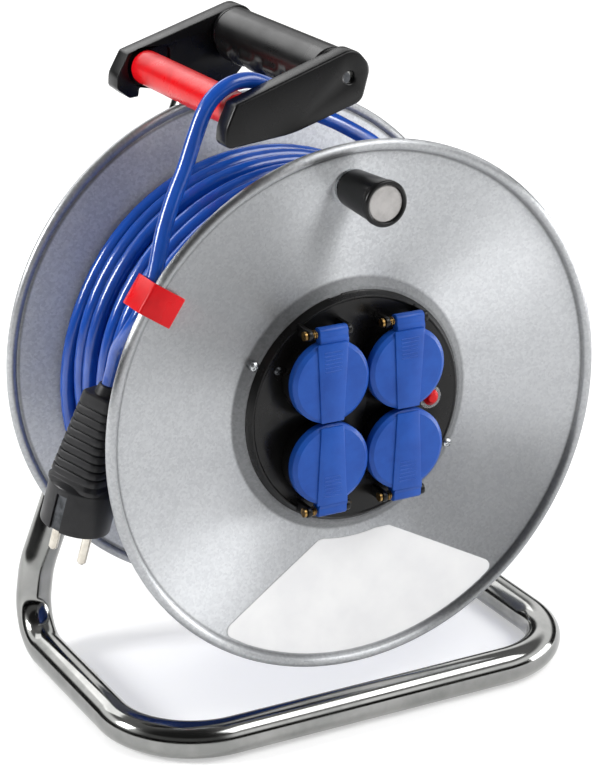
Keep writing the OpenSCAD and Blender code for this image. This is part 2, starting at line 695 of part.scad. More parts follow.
module lid_pins() color("goldenrod") at_hub() for (i = [0 : 3]) hinged(i) {
    rod_x(hinge_pin_r, -ear_x - ear_w - 0.6, ear_x + ear_w + 0.8, hinge_y, hinge_reach);
    rod_x(2.5, -ear_x - ear_w - 1.8, -ear_x - ear_w - 0.6, hinge_y, hinge_reach);
}

// Closing springs, wound round the pins between the left ear and the knuckle.
spring_wire_r = 0.35;
spring_r = hinge_pin_r + spring_wire_r + 0.5;
spring_turns = 2;
spring_points = [
    for (i = [0 : 8 * spring_turns])
        let (a = 45 * i, x0 = -ear_x + 0.7, x1 = knuckle_x - knuckle_w / 2 - 0.6)
        [lerp(x0, x1, i / (8 * spring_turns)), hinge_y + spring_r * cos(a), hinge_reach + spring_r * sin(a)]
];
echo(least_gap_between_curls = least_gap(spring_points, 2 * spring_wire_r, 4));
module lid_springs() color("goldenrod") at_hub() for (i = [0 : 3]) hinged(i)
    swept(spring_points, spring_wire_r, 6);

// Thermal cut-out behind the plate, its clear ring in front, and its red reset button.
module breaker_body() color("black") at_hub() {
    front = plate_front + plate_t + fit_gap;
    difference() {
        rod(8.6, front, front + 30, breaker_x, breaker_z);
        rod(button_r + run_gap, front - 1, front + 9, breaker_x, breaker_z);
    }
}
module breaker_ring() color("whitesmoke") at_hub()
    ring(6.4, button_r + 0.3, plate_front - 2.8, plate_front - fit_gap, breaker_x, breaker_z);
module reset_button() color("red") at_hub() translate([breaker_x, 0, breaker_z]) about_y()
    rotate_extrude() polygon([
        [0, plate_front - 5.4], [button_r - 1.2, plate_front - 5.2], [button_r, plate_front - 4],
        [button_r, plate_front + plate_t + 6.5], [0, plate_front + plate_t + 6.5]
    ]);

module plate_screws() color("silver") at_hub() polar_copies(plate_screw_at) {
    rod(2.4, plate_front - 0.4, plate_front + 0.7, plate_screw_r);
    rod(1.3, plate_front + 0.7, plate_front + plate_t + 10, plate_screw_r);
}

module flange_screws() color("white") at_hub() polar_copies(flange_screw_at) {
    rod(2.5, pad_front - 2, pad_front - seat_gap, flange_screw_r);
    rod(1.6, pad_front - seat_gap, step_y, flange_screw_r);
}

// Bare sticker on the lower part of the front flange, following its cone.
label_t = 0.25;
module flange_label() color("white") at_hub() intersection() {
    inner = step_r + 6;
    outer = crease_r - 1;
    fit = 0.05;
    about_y() rotate_extrude($fn = 128) polygon([
        [inner, face_y(inner) - label_t - fit], [outer, face_y(outer) - label_t - fit],
        [outer, face_y(outer) - fit], [inner, face_y(inner) - fit]
    ]);
    slab(0, step_y) polygon([
        [-18.6, -74], [24.3, -74], [83.4, -104.2], [83.4, -crease_r], [-78, -crease_r], [-78, -108.5]
    ]);
}

// ---------- crank knob ----------

module knob_pin() color("silver") at_hub() polar_copies([knob_angle]) {
    seat = face_y(knob_reach);
    rod(3, knob_front + 5, seat + sheet_t + 2, knob_reach);
    rod(5.5, seat + sheet_t + 1.2, seat + sheet_t + 3, knob_reach);
    rod(5, knob_front + 3.4, knob_front + 5, knob_reach);
}
module knob_washer() color("silver") at_hub() polar_copies([knob_angle])
    ring(washer_r, 3.1, washer_front, washer_front + washer_t, knob_reach);
module crank_knob() color([0.12, 0.12, 0.13]) at_hub() polar_copies([knob_angle])
    translate([knob_reach, 0, 0]) about_y() rotate_extrude() {
        back = washer_front - 0.3;
        polygon([
            [3 + run_gap, knob_front + 5.6], [5.4, knob_front + 5.6], [5.4, knob_front + 2.4],
            [knob_r - 2.2, knob_front + 2.4], [knob_r - 2.2, knob_front], [knob_r - 0.8, knob_front],
            [knob_r, knob_front + 0.9], [knob_r, knob_front + 3], [knob_r - 2, back - 1],
            [knob_r - 3, back], [3 + run_gap, back]
        ]);
    }
module knob_cap() color("gainsboro") at_hub() polar_copies([knob_angle])
    rod(knob_r - 2.2 - fit_gap, knob_front + 0.4, knob_front + 2.3, knob_reach);

// ---------- clip, free cord and plug ----------

// A hook over the front flange's bead, with a pocket behind it that holds the cord.
clip_at = 146.3;
clip_w = 16.5;
module cord_clip() color("red") at_hub() rotate([0, -clip_at, 0]) {
    roof = flange_r + 1;
    tip = crease_r - 5.5;
    translate([0, 0, -clip_w / 2]) linear_extrude(clip_w) polygon([
        [tip, -2.3], [roof + 2, -2.3], [roof + 2, 15], [roof + 0.4, 19.8], [crease_r, 19.8], [crease_r, 18],
        [roof - 1.2, 18], [roof, 14.4], [roof, -0.3], [tip + 2, -0.3], [tip + 2, face_y(tip + 2) - 0.9],
        [tip, face_y(tip) - 0.9]
    ]);
}

module cord_free() color([0.13, 0.3, 0.7]) at_hub() swept(free_route, cord_r, 10);

module at_plug() at_hub() translate(plug_top)
    rotate([0, plug_tilt, plug_heading]) rotate([0, 0, plug_spin]) children();

module plug_body() color([0.1, 0.1, 0.1]) at_plug() {
    rib = 1.2;
    difference() {
        rotate_extrude() polygon(concat(
            [[0, collar_len], [5.2, collar_len], [6.2, 0], [7.2, 0]],
            [for (i = [0 : 5], s = [0, 1, 2, 3])
                let (z = -4 - i * 6, r = lerp(8, 15, i / 5), w = s < 2 ? r - rib : r)
                [s == 0 || s == 3 ? (s == 3 ? r : r - rib) : w, z - [0, 1.8, 2.2, 5.2][s]]],
            [[plug_r - 1.4, -boot_len + 4], [plug_r, -boot_len], [plug_r, -plug_len + 1.5],
             [plug_r - 1.5, -plug_len], [0, -plug_len]]
        ));
        for (s = [-1, 1]) translate([-3.2, s > 0 ? plug_r - 2.4 : -plug_r - 1, -plug_len - 1])
            cube([6.4, 3.4, 21]);
        for (x = [-1, 1] * pin_pitch / 2) translate([x, 0, -plug_len - 1])
            cylinder(r = pin_root_r + seat_gap, h = 13);
    }
}

// A pin's root is thinner than the part that stands out, so that it stops on the plug's face.
plug_pin_len = 19;
pin_root_r = pin_r - 0.6;
module plug_pins() color("gold") at_plug() for (x = [-1, 1] * pin_pitch / 2)
    translate([x, 0, -plug_len - plug_pin_len]) {
        cylinder(r1 = pin_r - 1, r2 = pin_r, h = 1.2, $fn = 64);
        translate([0, 0, 1.2]) cylinder(r = pin_r, h = plug_pin_len - 1.2 - seat_gap);
        translate([0, 0, plug_pin_len - 1]) cylinder(r = pin_root_r, h = 12);
    }

module plug_earth_strips() color("silver") at_plug() for (s = [-1, 1])
    translate([-2.8, s > 0 ? plug_r - 2.3 : -plug_r + 1.5, -plug_len + 0.5]) cube([5.6, 0.8, 19]);

frame_tube();
tube_end_cap();
grip_insert();
hub_bracket();
bracket_bolts();
bracket_nuts();
axle();
axle_nut();
axle_washer();
axle_clip();
handle_arm_front();
handle_arm_back();
grip_sleeve();
handle_screw();
roller_pin();
guide_roller();
drum_core();
front_flange();
back_flange();
hub_bush();
bush_screws();
winding_core();
winding_top();
cord_grommet();
inner_lead();
terminal_block();
socket_plate();
insert_cover();
socket_cup_top_left();
socket_cup_top_right();
socket_cup_bottom_left();
socket_cup_bottom_right();
contact_sleeves();
earth_clips();
lid_top_left();
lid_top_right();
lid_bottom_left();
lid_bottom_right();
lid_pins();
lid_springs();
breaker_body();
breaker_ring();
reset_button();
plate_screws();
flange_screws();
flange_label();
crank_knob();
knob_cap();
knob_pin();
knob_washer();
cord_clip();
cord_free();
plug_body();
plug_pins();
plug_earth_strips();
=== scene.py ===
"""Looks of a steel cord reel: a drum of blue cord with covered sockets, turning on a bent-tube stand.

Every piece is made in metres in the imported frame. Sizes below are in millimetres from the hub:
X to the right and Z up from the drum's axis, and Y back from the plane of the front rim.
"""

from __future__ import annotations

import logging
import math
from dataclasses import dataclass, replace
from enum import Enum
from typing import Any, Callable, Sequence

import bpy
from mathutils import Matrix, Vector


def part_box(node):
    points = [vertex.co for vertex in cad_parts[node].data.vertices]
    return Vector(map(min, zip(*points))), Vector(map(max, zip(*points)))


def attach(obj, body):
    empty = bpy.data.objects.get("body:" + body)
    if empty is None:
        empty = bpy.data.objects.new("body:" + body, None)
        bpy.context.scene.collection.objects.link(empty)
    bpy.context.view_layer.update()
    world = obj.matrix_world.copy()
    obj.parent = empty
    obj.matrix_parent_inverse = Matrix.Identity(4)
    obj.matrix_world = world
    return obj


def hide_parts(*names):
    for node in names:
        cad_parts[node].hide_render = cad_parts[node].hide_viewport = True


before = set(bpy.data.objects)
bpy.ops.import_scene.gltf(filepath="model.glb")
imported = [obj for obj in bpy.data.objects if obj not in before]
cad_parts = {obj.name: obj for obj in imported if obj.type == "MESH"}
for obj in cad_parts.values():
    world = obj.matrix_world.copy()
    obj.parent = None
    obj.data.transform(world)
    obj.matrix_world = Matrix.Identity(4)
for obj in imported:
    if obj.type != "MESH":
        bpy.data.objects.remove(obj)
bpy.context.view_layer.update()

logging.basicConfig(level=logging.INFO, format="%(message)s")
LOG = logging.getLogger("cord_reel")

MM = 0.001
FULL_TURN = 360.0
BACK = Vector((0.0, 1.0, 0.0))
LAMP_TARGET = Vector((0.0, 0.0, 0.17))
Outline = list[tuple[float, float]]
Colour = tuple[float, float, float, float]


# ---------------------------------------------------------------- places


@dataclass(frozen=True)
class Datum:
    """Where the hub's axis meets the plane of the front rim, in millimetres.

    Attributes:
        rim_y: How far back the front rim's plane lies in the frame.
        axis_z: Height of the drum's axis.
    """

    rim_y: float
    axis_z: float

    def at(self, x: float, y: float, z: float) -> Vector:
        """Gives a place measured from the hub as a point of the frame.

        Args:
            x: Millimetres to the right of the drum's axis.
            y: Millimetres back from the front rim's plane.
            z: Millimetres above the drum's axis.

        Returns:
            The point in metres.
        """
        return Vector((x, y + self.rim_y, z + self.axis_z)) * MM

    def polar(self, radius: float, degrees: float, y: float) -> Vector:
        """Gives a place at an angle round the drum, counted from the right."""
        a = math.radians(degrees)
        return self.at(radius * math.cos(a), y, radius * math.sin(a))


def _datum() -> Datum:
    """Reads the hub's place off the front flange."""
    low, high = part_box("front_flange")
    return Datum(rim_y=low.y / MM, axis_z=(low.z + high.z) / 2 / MM)


DATUM = _datum()
# What more than one sub-assembly is built to: the drum's width over its rims, the rims' radius, the
# flanges' thickness, and the radius and depth of the step round the sockets.
DRUM_LEN = 136.0
RIM_R = 145.0
SHEET = 1.2
STEP = (69.6, 14.0)


def lerp(a: float, b: float, t: float) -> float:
    """Mixes two numbers."""
    return a + (b - a) * t


def ease(t: float) -> float:
    """Runs smoothly from 0 to 1 as t does."""
    t = max(0.0, min(1.0, t))
    return t * t * (3 - 2 * t)


def run_length(route: Sequence[Vector]) -> float:
    """Adds up the steps of a route."""
    return sum((b - a).length for a, b in zip(route, route[1:]))


def filleted(corners: Sequence[tuple[float, float, float]], steps: int = 5, closed: bool = True) -> Outline:
    """Rounds the corners of a flat outline.

    Args:
        corners: Each corner's two coordinates and the radius of its round, in millimetres.
        steps: Flats in each round.
        closed: Whether the outline returns to its first corner.

    Returns:
        The outline's points in order.
    """
    out: Outline = []
    count = len(corners)
    for i, (x, y, radius) in enumerate(corners):
        here = Vector((x, y))
        if radius <= 0 or (not closed and i in (0, count - 1)):
            out.append((x, y))
            continue
        before = Vector(corners[i - 1][:2]) - here
        after = Vector(corners[(i + 1) % count][:2]) - here
        half = before.angle(after) / 2
        if half > math.radians(89.5):
            out.append((x, y))
            continue
        cut = min(radius / math.tan(half), 0.49 * before.length, 0.49 * after.length)
        radius = cut * math.tan(half)
        centre = here + (before.normalized() + after.normalized()).normalized() * radius / math.sin(half)
        start = here + before.normalized() * cut - centre
        end = here + after.normalized() * cut - centre
        turn = start.angle_signed(end)
        for k in range(steps + 1):
            a = -turn * k / steps
            c, s = math.cos(a), math.sin(a)
            out.append((centre.x + start.x * c - start.y * s, centre.y + start.x * s + start.y * c))
    return out


# ---------------------------------------------------------------- modelling


class Bench:
    """Modelling moves that the sub-assemblies share, each done as by hand in edit mode."""

    @staticmethod
    def only(piece: bpy.types.Object) -> None:
        """Leaves one object selected and active.

        Args:
            piece: The object.
        """
        bpy.ops.object.select_all(action="DESELECT")
        piece.select_set(True)
        bpy.context.view_layer.objects.active = piece

    @staticmethod
    def vertex(name: str, place: Vector) -> bpy.types.Object:
        """Starts a mesh as one selected vertex, and leaves it in edit mode.

        Args:
            name: Name of the new object and its mesh.
            place: Where the vertex lies, in metres.

        Returns:
            The object.
        """
        bpy.ops.object.select_all(action="DESELECT")
        bpy.ops.mesh.primitive_plane_add(size=0.01, location=(0, 0, 0))
        piece = bpy.context.active_object
        piece.name = name
        piece.data.name = name
        bpy.ops.object.mode_set(mode="EDIT")
        bpy.ops.mesh.select_all(action="SELECT")
        bpy.ops.mesh.merge(type="CENTER")
        bpy.ops.transform.translate(value=place)
        return piece

    @staticmethod
    def trace(name: str, points: Sequence[Vector], closed: bool = False) -> bpy.types.Object:
        """Draws a line by extruding a vertex from point to point.

        Args:
            name: Name of the new object.
            points: Points of the frame, in metres.
            closed: Whether the line joins up with its start.

        Returns:
            The object, still in edit mode with all of it selected.
        """
        piece = Bench.vertex(name, points[0])
        route = list(points) + ([points[0]] if closed else [])
        for a, b in zip(route, route[1:]):
            bpy.ops.mesh.extrude_vertices_move(TRANSFORM_OT_translate={"value": b - a})
        bpy.ops.mesh.select_all(action="SELECT")
        if closed:
            bpy.ops.mesh.remove_doubles(threshold=1e-6)
        return piece

    @staticmethod
    def close_up(piece: bpy.types.Object) -> bpy.types.Object:
        """Merges doubles, turns the faces outwards and leaves edit mode.

        Args:
            piece: The object that is being edited.

        Returns:
            The same object.
        """
        bpy.ops.mesh.select_all(action="SELECT")
        bpy.ops.mesh.remove_doubles(threshold=2e-6)
        bpy.ops.mesh.normals_make_consistent(inside=False)
        bpy.ops.object.mode_set(mode="OBJECT")
        return piece

    @staticmethod
    def lathe(
        name: str,
        profile: Outline,
        centre: Vector,
        axis: Vector = BACK,
        steps: int = 72,
        closed: bool = False,
    ) -> bpy.types.Object:
        """Turns a profile round an axis.

        Args:
            name: Name of the new object.
            profile: Radius and height pairs in millimetres, height along the axis.
            centre: Point of the axis at height 0, in metres.
            axis: Direction of the axis.
            steps: Flats round the piece.
            closed: Whether the profile is a closed loop, as for a ring.

        Returns:
            The turned piece.
        """
        side = axis.orthogonal().normalized()
        points = [centre + (side * r + axis * h) * MM for r, h in profile]
        piece = Bench.trace(name, points, closed)
        bpy.ops.mesh.spin(steps=steps, angle=math.tau, center=centre, axis=axis)
        return Bench.close_up(piece)

    @staticmethod
    def slab(name: str, points: Sequence[Vector], depth: Vector) -> bpy.types.Object:
        """Fills a closed outline and extrudes it.

        Args:
            name: Name of the new object.
            points: The outline's points in the frame, in metres.
            depth: How far the outline is extruded, in metres.

        Returns:
            The solid.
        """
        piece = Bench.trace(name, points, closed=True)
        bpy.ops.mesh.edge_face_add()
        bpy.ops.mesh.extrude_region_move(TRANSFORM_OT_translate={"value": depth})
        return Bench.close_up(piece)

    @staticmethod
    def plate(name: str, outline: Outline, y0: float, y1: float) -> bpy.types.Object:
        """Makes a solid from an outline in X and Z, from y0 back to y1."""
        return Bench.slab(name, [DATUM.at(x, y0, z) for x, z in outline], BACK * (y1 - y0) * MM)

    @staticmethod
    def modify(piece: bpy.types.Object, kind: str, **settings: Any) -> bpy.types.Object:
        """Adds a modifier, sets it and applies it.

        Args:
            piece: The object that it changes.
            kind: The modifier's type.
            **settings: The modifier's own properties.

        Returns:
            The same object.
        """
        Bench.only(piece)
        bpy.ops.object.modifier_add(type=kind)
        modifier = piece.modifiers[-1]
        for key, value in settings.items():
            setattr(modifier, key, value)
        bpy.ops.object.modifier_apply(modifier=modifier.name)
        return piece

    @staticmethod
    def bevel(
        piece: bpy.types.Object, width: float, segments: int = 3, angle: float = 30
    ) -> bpy.types.Object:
        """Rounds a piece's sharp edges.

        Args:
            piece: The object that it changes.
            width: Width of the round, in millimetres.
            segments: Flats in the round.
            angle: The least angle of an edge that is rounded, in degrees.

        Returns:
            The same object.
        """
        return Bench.modify(
            piece,
            "BEVEL",
            width=width * MM,
            segments=segments,
            limit_method="ANGLE",
            angle_limit=math.radians(angle),
            harden_normals=False,
        )

    @staticmethod
    def carve(piece: bpy.types.Object, cutter: bpy.types.Object) -> bpy.types.Object:
        """Cuts one solid out of another and removes the cutter.

        Args:
            piece: The solid that is cut.
            cutter: The solid that is taken away.

        Returns:
            The cut solid.
        """
        Bench.modify(piece, "BOOLEAN", operation="DIFFERENCE", object=cutter, solver="EXACT")
        bpy.data.objects.remove(cutter)
        return piece

    @staticmethod
    def smooth(piece: bpy.types.Object, angle: float = 32) -> bpy.types.Object:
        """Shades a piece smoothly across its flatter edges.

        Args:
            piece: The object that it changes.
            angle: The angle above which an edge stays sharp, in degrees.

        Returns:
            The same object.
        """
        Bench.only(piece)
        bpy.ops.object.shade_smooth_by_angle(angle=math.radians(angle))
        return piece

    @staticmethod
    def join(name: str, pieces: Sequence[bpy.types.Object]) -> bpy.types.Object:
        """Joins pieces that are moulded or fixed as one.

        Args:
            name: Name of the joined object.
            pieces: The pieces, of which the first takes the others in.

        Returns:
            The joined object.
        """
        bpy.ops.object.select_all(action="DESELECT")
        for piece in pieces:
            piece.select_set(True)
        bpy.context.view_layer.objects.active = pieces[0]
        bpy.ops.object.join()
        pieces[0].name = name
        return pieces[0]

    @staticmethod
    def tube(name: str, points: Sequence[Vector], radius: float, resolution: int) -> bpy.types.Object:
        """Lays a round tube along points, as an extruder would a cord.

        Args:
            name: Name of the new object.
            points: Points of its centreline, in metres.
            radius: Its radius, in millimetres.
            resolution: How finely its section is divided.

        Returns:
            The tube as a curve with closed ends.
        """
        curve = bpy.data.curves.new(name, "CURVE")
        curve.dimensions = "3D"
        curve.bevel_depth = radius * MM
        curve.bevel_resolution = resolution
        curve.use_fill_caps = True
        spline = curve.splines.new("POLY")
        spline.points.add(len(points) - 1)
        for knot, place in zip(spline.points, points):
            knot.co = (*place, 1.0)
        spline.use_smooth = True
        piece = bpy.data.objects.new(name, curve)
        bpy.context.scene.collection.objects.link(piece)
        return piece

    @staticmethod
    def rod(
        name: str, x: float, z: float, r: float, y0: float, y1: float, steps: int = 48
    ) -> bpy.types.Object:
        """Makes a plain rod along Y, used to cut round holes."""
        return Bench.lathe(name, [(0, y0), (r, y0), (r, y1), (0, y1)], DATUM.at(x, 0, z), steps=steps)


# ---------------------------------------------------------------- finishes


def linear(hex_colour: str) -> Colour:
    """Turns an sRGB hex colour into the linear one that a shader takes.

    Args:
        hex_colour: The colour as a hash sign and six digits.

    Returns:
        Red, green and blue, and a full alpha.
    """
    out = []
    for i in (1, 3, 5):
        c = int(hex_colour[i : i + 2], 16) / 255
        out.append(c / 12.92 if c <= 0.04045 else ((c + 0.055) / 1.055) ** 2.4)
    return (*out, 1.0)


def grey(value: float) -> Colour:
    """Gives a neutral colour."""
    return (value, value, value, 1.0)


def add_node(
    tree: bpy.types.NodeTree,
    kind: str,
    inputs: dict[str | int, Any] | None = None,
    stops: Sequence[tuple[float, Colour]] = (),
    **settings: Any,
) -> bpy.types.Node:
    """Adds a node.

    Args:
        tree: Where it goes.
        kind: The node's type.
        inputs: Each input's value, or the output that feeds it, or the node whose first output does.
        stops: A colour ramp's places and colours, in order.
        **settings: The node's own properties.

    Returns:
        The new node.
    """
    node = tree.nodes.new(kind)
    for key, value in settings.items():
        setattr(node, key, value)
    for key, value in (inputs or {}).items():
        feed = value.outputs[0] if isinstance(value, bpy.types.Node) else value
        if isinstance(feed, bpy.types.NodeSocket):
            tree.links.new(feed, node.inputs[key])
        else:
            node.inputs[key].default_value = feed
    for i, (position, colour) in enumerate(stops):
        elements = node.color_ramp.elements
        element = elements[i] if i < 2 else elements.new(position)
        element.position = position
        element.color = colour
    return node


@dataclass(frozen=True)
class Finish:
    """A moulded or plated surface: one colour, a little mottling, and a fine grain.

    Attributes:
        name: The material's name.
        colour: Its colour where clean.
        shade: Its colour in the mottled parts.
        roughness: The least and the greatest roughness.
        metallic: 1 for bare metal.
        ior: Index of refraction of what isn't metal.
        mottle_mm: Width of the mottling.
        grain_mm: Width of the surface's grain.
        grain_depth_mm: Height of the grain.
        specular: Strength of the gloss at the surface, 0.5 for the IOR as it is.
    """

    name: str
    colour: str
    shade: str
    roughness: tuple[float, float]
    metallic: float = 0.0
    ior: float = 1.5
    mottle_mm: float = 30.0
    grain_mm: float = 0.6
    grain_depth_mm: float = 0.02
    specular: float = 0.5

    def make(self) -> bpy.types.Material:
        """Builds the material.

        Returns:
            The material, or the one of this name that is already built.
        """
        done = bpy.data.materials.get(self.name)
        if done:
            return done
        material = bpy.data.materials.new(self.name)
        material.use_nodes = True
        tree = material.node_tree
        tree.nodes.clear()
        place = add_node(tree, "ShaderNodeTexCoord").outputs["Object"]
        whole = {"Metallic": self.metallic, "IOR": self.ior, "Specular IOR Level": self.specular}
        shader = add_node(tree, "ShaderNodeBsdfPrincipled", {**whole, **self.pattern(tree, place)})
        add_node(tree, "ShaderNodeOutputMaterial", {"Surface": shader})
        return material

    def pattern(self, tree: bpy.types.NodeTree, place: bpy.types.NodeSocket) -> dict[str | int, Any]:
        """Draws the surface's mottling and grain.

        Args:
            tree: The material's nodes.
            place: Place on the piece, in metres.

        Returns:
            What feeds the shader's inputs.
        """
        mottle = add_node(
            tree,
            "ShaderNodeTexNoise",
            {"Vector": place, "Scale": 1 / (self.mottle_mm * MM), "Detail": 4.0, "Roughness": 0.6},
        )
        stops = [(0.35, linear(self.shade)), (0.62, linear(self.colour))]
        colour = add_node(tree, "ShaderNodeValToRGB", {"Fac": mottle}, stops)
        low, high = self.roughness
        rough = add_node(
            tree,
            "ShaderNodeMapRange",
            {"Value": mottle, "From Min": 0.35, "From Max": 0.65, "To Min": high, "To Max": low},
        )
        grain = add_node(
            tree, "ShaderNodeTexNoise", {"Vector": place, "Scale": 1 / (self.grain_mm * MM), "Detail": 2.0}
        )
        bump = add_node(
            tree, "ShaderNodeBump", {"Height": grain, "Distance": self.grain_depth_mm * MM, "Strength": 0.6}
        )
        return {"Base Color": colour, "Roughness": rough, "Normal": bump}


@dataclass(frozen=True)
class GalvanisedFinish(Finish):
    """Hot-dip galvanised sheet that was skin-passed: a satin grey with a fine spangle.

    Attributes:
        spangle_mm: Width of the zinc's crystals.
        spun: How far the rings of spinning stretch the gloss outwards.
        middle: How light the shade painted inside the step leaves the sheet, against the cone.
        level: The ramp's value that leaves the roughness as it is, as on the cone.
        step_rough: The ramp's value inside the step, where the sheet is duller.
        bead_rough: The ramp's value on the bead, which is glossier.
        step_r: Radii in millimetres that the step's change of roughness lies between.
        bead_r: Radii that the bead's change of roughness lies between.
        painted_shade_r: Radii that the shade painted inside the step fades in between.
        groove: Radii of the groove: where it begins, its dark floor, and where the bead begins.
        groove_shade: How light the shade painted into the groove leaves it, against the cone.
        bead_shade: How light the bead is, against the cone.
        disc_r: A radius past the disc's edge, which the other radii are shares of.
    """

    spangle_mm: float = 1.3
    spun: float = 0.95
    middle: float = 0.5
    level: float = 0.25
    step_rough: float = 0.55
    bead_rough: float = 0.08
    step_r: tuple[float, float] = (69.4, 70.4)
    bead_r: tuple[float, float] = (138.9, 139.8)
    painted_shade_r: tuple[float, float] = (69.2, 70.6)
    groove: tuple[float, float, float, float] = (138.0, 138.5, 139.3, 139.8)
    groove_shade: float = 0.42
    bead_shade: float = 0.7
    disc_r: float = 150.0

    def by_radius(self, radii: Sequence[float], values: Sequence[float]) -> list[tuple[float, Colour]]:
        """Pairs radii with the values that a ramp takes there."""
        return [(r / self.disc_r, grey(value)) for r, value in zip(radii, values, strict=True)]

    def pattern(self, tree: bpy.types.NodeTree, place: bpy.types.NodeSocket) -> dict[str | int, Any]:
        """Draws the zinc's crystals, and the fine rings of spinning, which draw the gloss out from the axle.

        The rolled bead is burnished by its rollers, so it's glossier than the sheet. The groove inside it
        and the step round the sockets are duller; shade is painted into both as a darker colour, and the
        bead is painted a little darker than the cone.

        Args:
            tree: The material's nodes.
            place: Place on the piece, in metres.

        Returns:
            What feeds the shader's inputs.
        """
        crystals = add_node(
            tree, "ShaderNodeTexVoronoi", {"Vector": place, "Scale": 1 / (self.spangle_mm * MM)}
        ).outputs["Color"]
        crystal = add_node(tree, "ShaderNodeSeparateColor", {"Color": crystals}).outputs["Red"]
        speck = add_node(
            tree,
            "ShaderNodeTexNoise",
            {"Vector": place, "Scale": 1 / (self.grain_mm * MM), "Detail": 3.0, "Roughness": 0.7},
        )
        cloud = add_node(
            tree, "ShaderNodeTexNoise", {"Vector": place, "Scale": 1 / (self.mottle_mm * MM), "Detail": 3.0}
        )
        mixed = add_node(tree, "ShaderNodeMath", {0: crystal, 1: speck}, operation="ADD")
        half = add_node(tree, "ShaderNodeMath", {0: mixed, 1: 0.5}, operation="MULTIPLY")
        stops = [(0.25, linear(self.shade)), (0.75, linear(self.colour))]
        clean = add_node(tree, "ShaderNodeValToRGB", {"Fac": half}, stops)
        low, high = self.roughness
        fine = add_node(
            tree,
            "ShaderNodeMapRange",
            {"Value": half, "From Min": 0.1, "From Max": 0.9, "To Min": low, "To Max": high},
        )
        worn = add_node(
            tree,
            "ShaderNodeMapRange",
            {"Value": cloud, "From Min": 0.3, "From Max": 0.7, "To Min": -0.03, "To Max": 0.03},
        )
        even = add_node(tree, "ShaderNodeMath", {0: fine, 1: worn}, operation="ADD")
        bump = add_node(
            tree, "ShaderNodeBump", {"Height": half, "Distance": self.grain_depth_mm * MM, "Strength": 0.5}
        )
        hub = DATUM.at(0, -DATUM.rim_y, 0)
        centred = add_node(tree, "ShaderNodeVectorMath", {0: place, 1: hub}, operation="SUBTRACT")
        outward = add_node(tree, "ShaderNodeVectorMath", {0: centred, 1: (1, 0, 1)}, operation="MULTIPLY")
        across = add_node(
            tree,
            "ShaderNodeVectorTransform",
            {"Vector": outward},
            vector_type="VECTOR",
            convert_from="OBJECT",
            convert_to="WORLD",
        )
        radius = add_node(tree, "ShaderNodeVectorMath", {0: outward}, operation="LENGTH").outputs["Value"]
        share = add_node(tree, "ShaderNodeMath", {0: radius, 1: self.disc_r * MM}, operation="DIVIDE")
        stops = self.by_radius(
            (*self.step_r, *self.bead_r), (self.step_rough, self.level, self.level, self.bead_rough)
        )
        offset = add_node(tree, "ShaderNodeValToRGB", {"Fac": share}, stops)
        lowered = add_node(tree, "ShaderNodeMath", {0: even, 1: self.level}, operation="SUBTRACT")
        rough = add_node(tree, "ShaderNodeMath", {0: lowered, 1: offset}, operation="ADD")
        # Painted shade: the colour is darkened inside the step and in the groove, and a little on the bead.
        shades = (self.middle, 1.0, 1.0, self.groove_shade, self.groove_shade, self.bead_shade)
        stops = self.by_radius((*self.painted_shade_r, *self.groove), shades)
        painted_shade = add_node(tree, "ShaderNodeValToRGB", {"Fac": share}, stops)
        colour = add_node(tree, "ShaderNodeVectorMath", {0: clean, 1: painted_shade}, operation="MULTIPLY")
        return {
            "Base Color": colour,
            "Roughness": rough,
            "Normal": bump,
            "Anisotropic": self.spun,
            "Tangent": across,
        }


@dataclass(frozen=True)
class ClearFinish(Finish):
    """Clear moulded polycarbonate.

    Attributes:
        clearness: Share of the light that goes through it.
    """

    clearness: float = 0.85

    def pattern(self, tree: bpy.types.NodeTree, place: bpy.types.NodeSocket) -> dict[str | int, Any]:
        """Lets light through, with the moulding's faint ripple."""
        return {**super().pattern(tree, place), "Transmission Weight": self.clearness}


# Galvanised steel sheet, spun to shape: satin mid grey, with 1.3 mm crystals that differ a little in grey.
GALVANISED = GalvanisedFinish(
    "galvanised_steel", "#d2d4d6", "#bec0c3", (0.50, 0.58),
    metallic=1.0, mottle_mm=60, grain_mm=0.8, grain_depth_mm=0.06,
)
# The rear disc is pressed rather than spun, so its gloss is hardly stretched, and no shade is painted inside
# its step.
GALVANISED_REAR = replace(GALVANISED, name="galvanised_pressed", spun=0.3, middle=1.0, metallic=0.7)
# Chromium plate on polished tube, with a faint waviness from polishing. Its colour is set darker than
# bright chrome's, as painted shade for the dark room that it mirrors.
CHROME = Finish(
    "chromium_plate", "#979795", "#868785", (0.09, 0.16), metallic=1.0, mottle_mm=25, grain_mm=9
)
# Zinc-plated steel fasteners: grey, half bright.
ZINC = Finish("zinc_plate", "#c3c6c8", "#a6a9ab", (0.22, 0.36), metallic=1.0, mottle_mm=6, grain_mm=0.5)
# Black-passivated zinc on the socket plate's screws: dull. The same dark finish is painted on the
# handle's screw in its recess and on the plug's earth strips in their slots, as painted shade.
DULL_ZINC_AND_SHADE = Finish("black_zinc_and_painted_shade", "#55575a", "#3c3e40", (0.34, 0.46), metallic=1.0, mottle_mm=4, grain_mm=0.5)
# Plasticised cord sheath: blue, smooth off the extruder, with a wet-looking gloss.
SHEATH = Finish(
    "cord_sheath", "#174fae", "#11449c", (0.14, 0.22),
    specular=0.75, mottle_mm=18, grain_mm=2.5, grain_depth_mm=0.03,
)
# Lids: moulded nylon, mid blue, semi-gloss from a fine spark-eroded tool.
LID_NYLON = Finish(
    "lid_nylon", "#1a52ae", "#1648a0", (0.32, 0.44),
    specular=0.3, mottle_mm=14, grain_mm=0.5, grain_depth_mm=0.012,
)
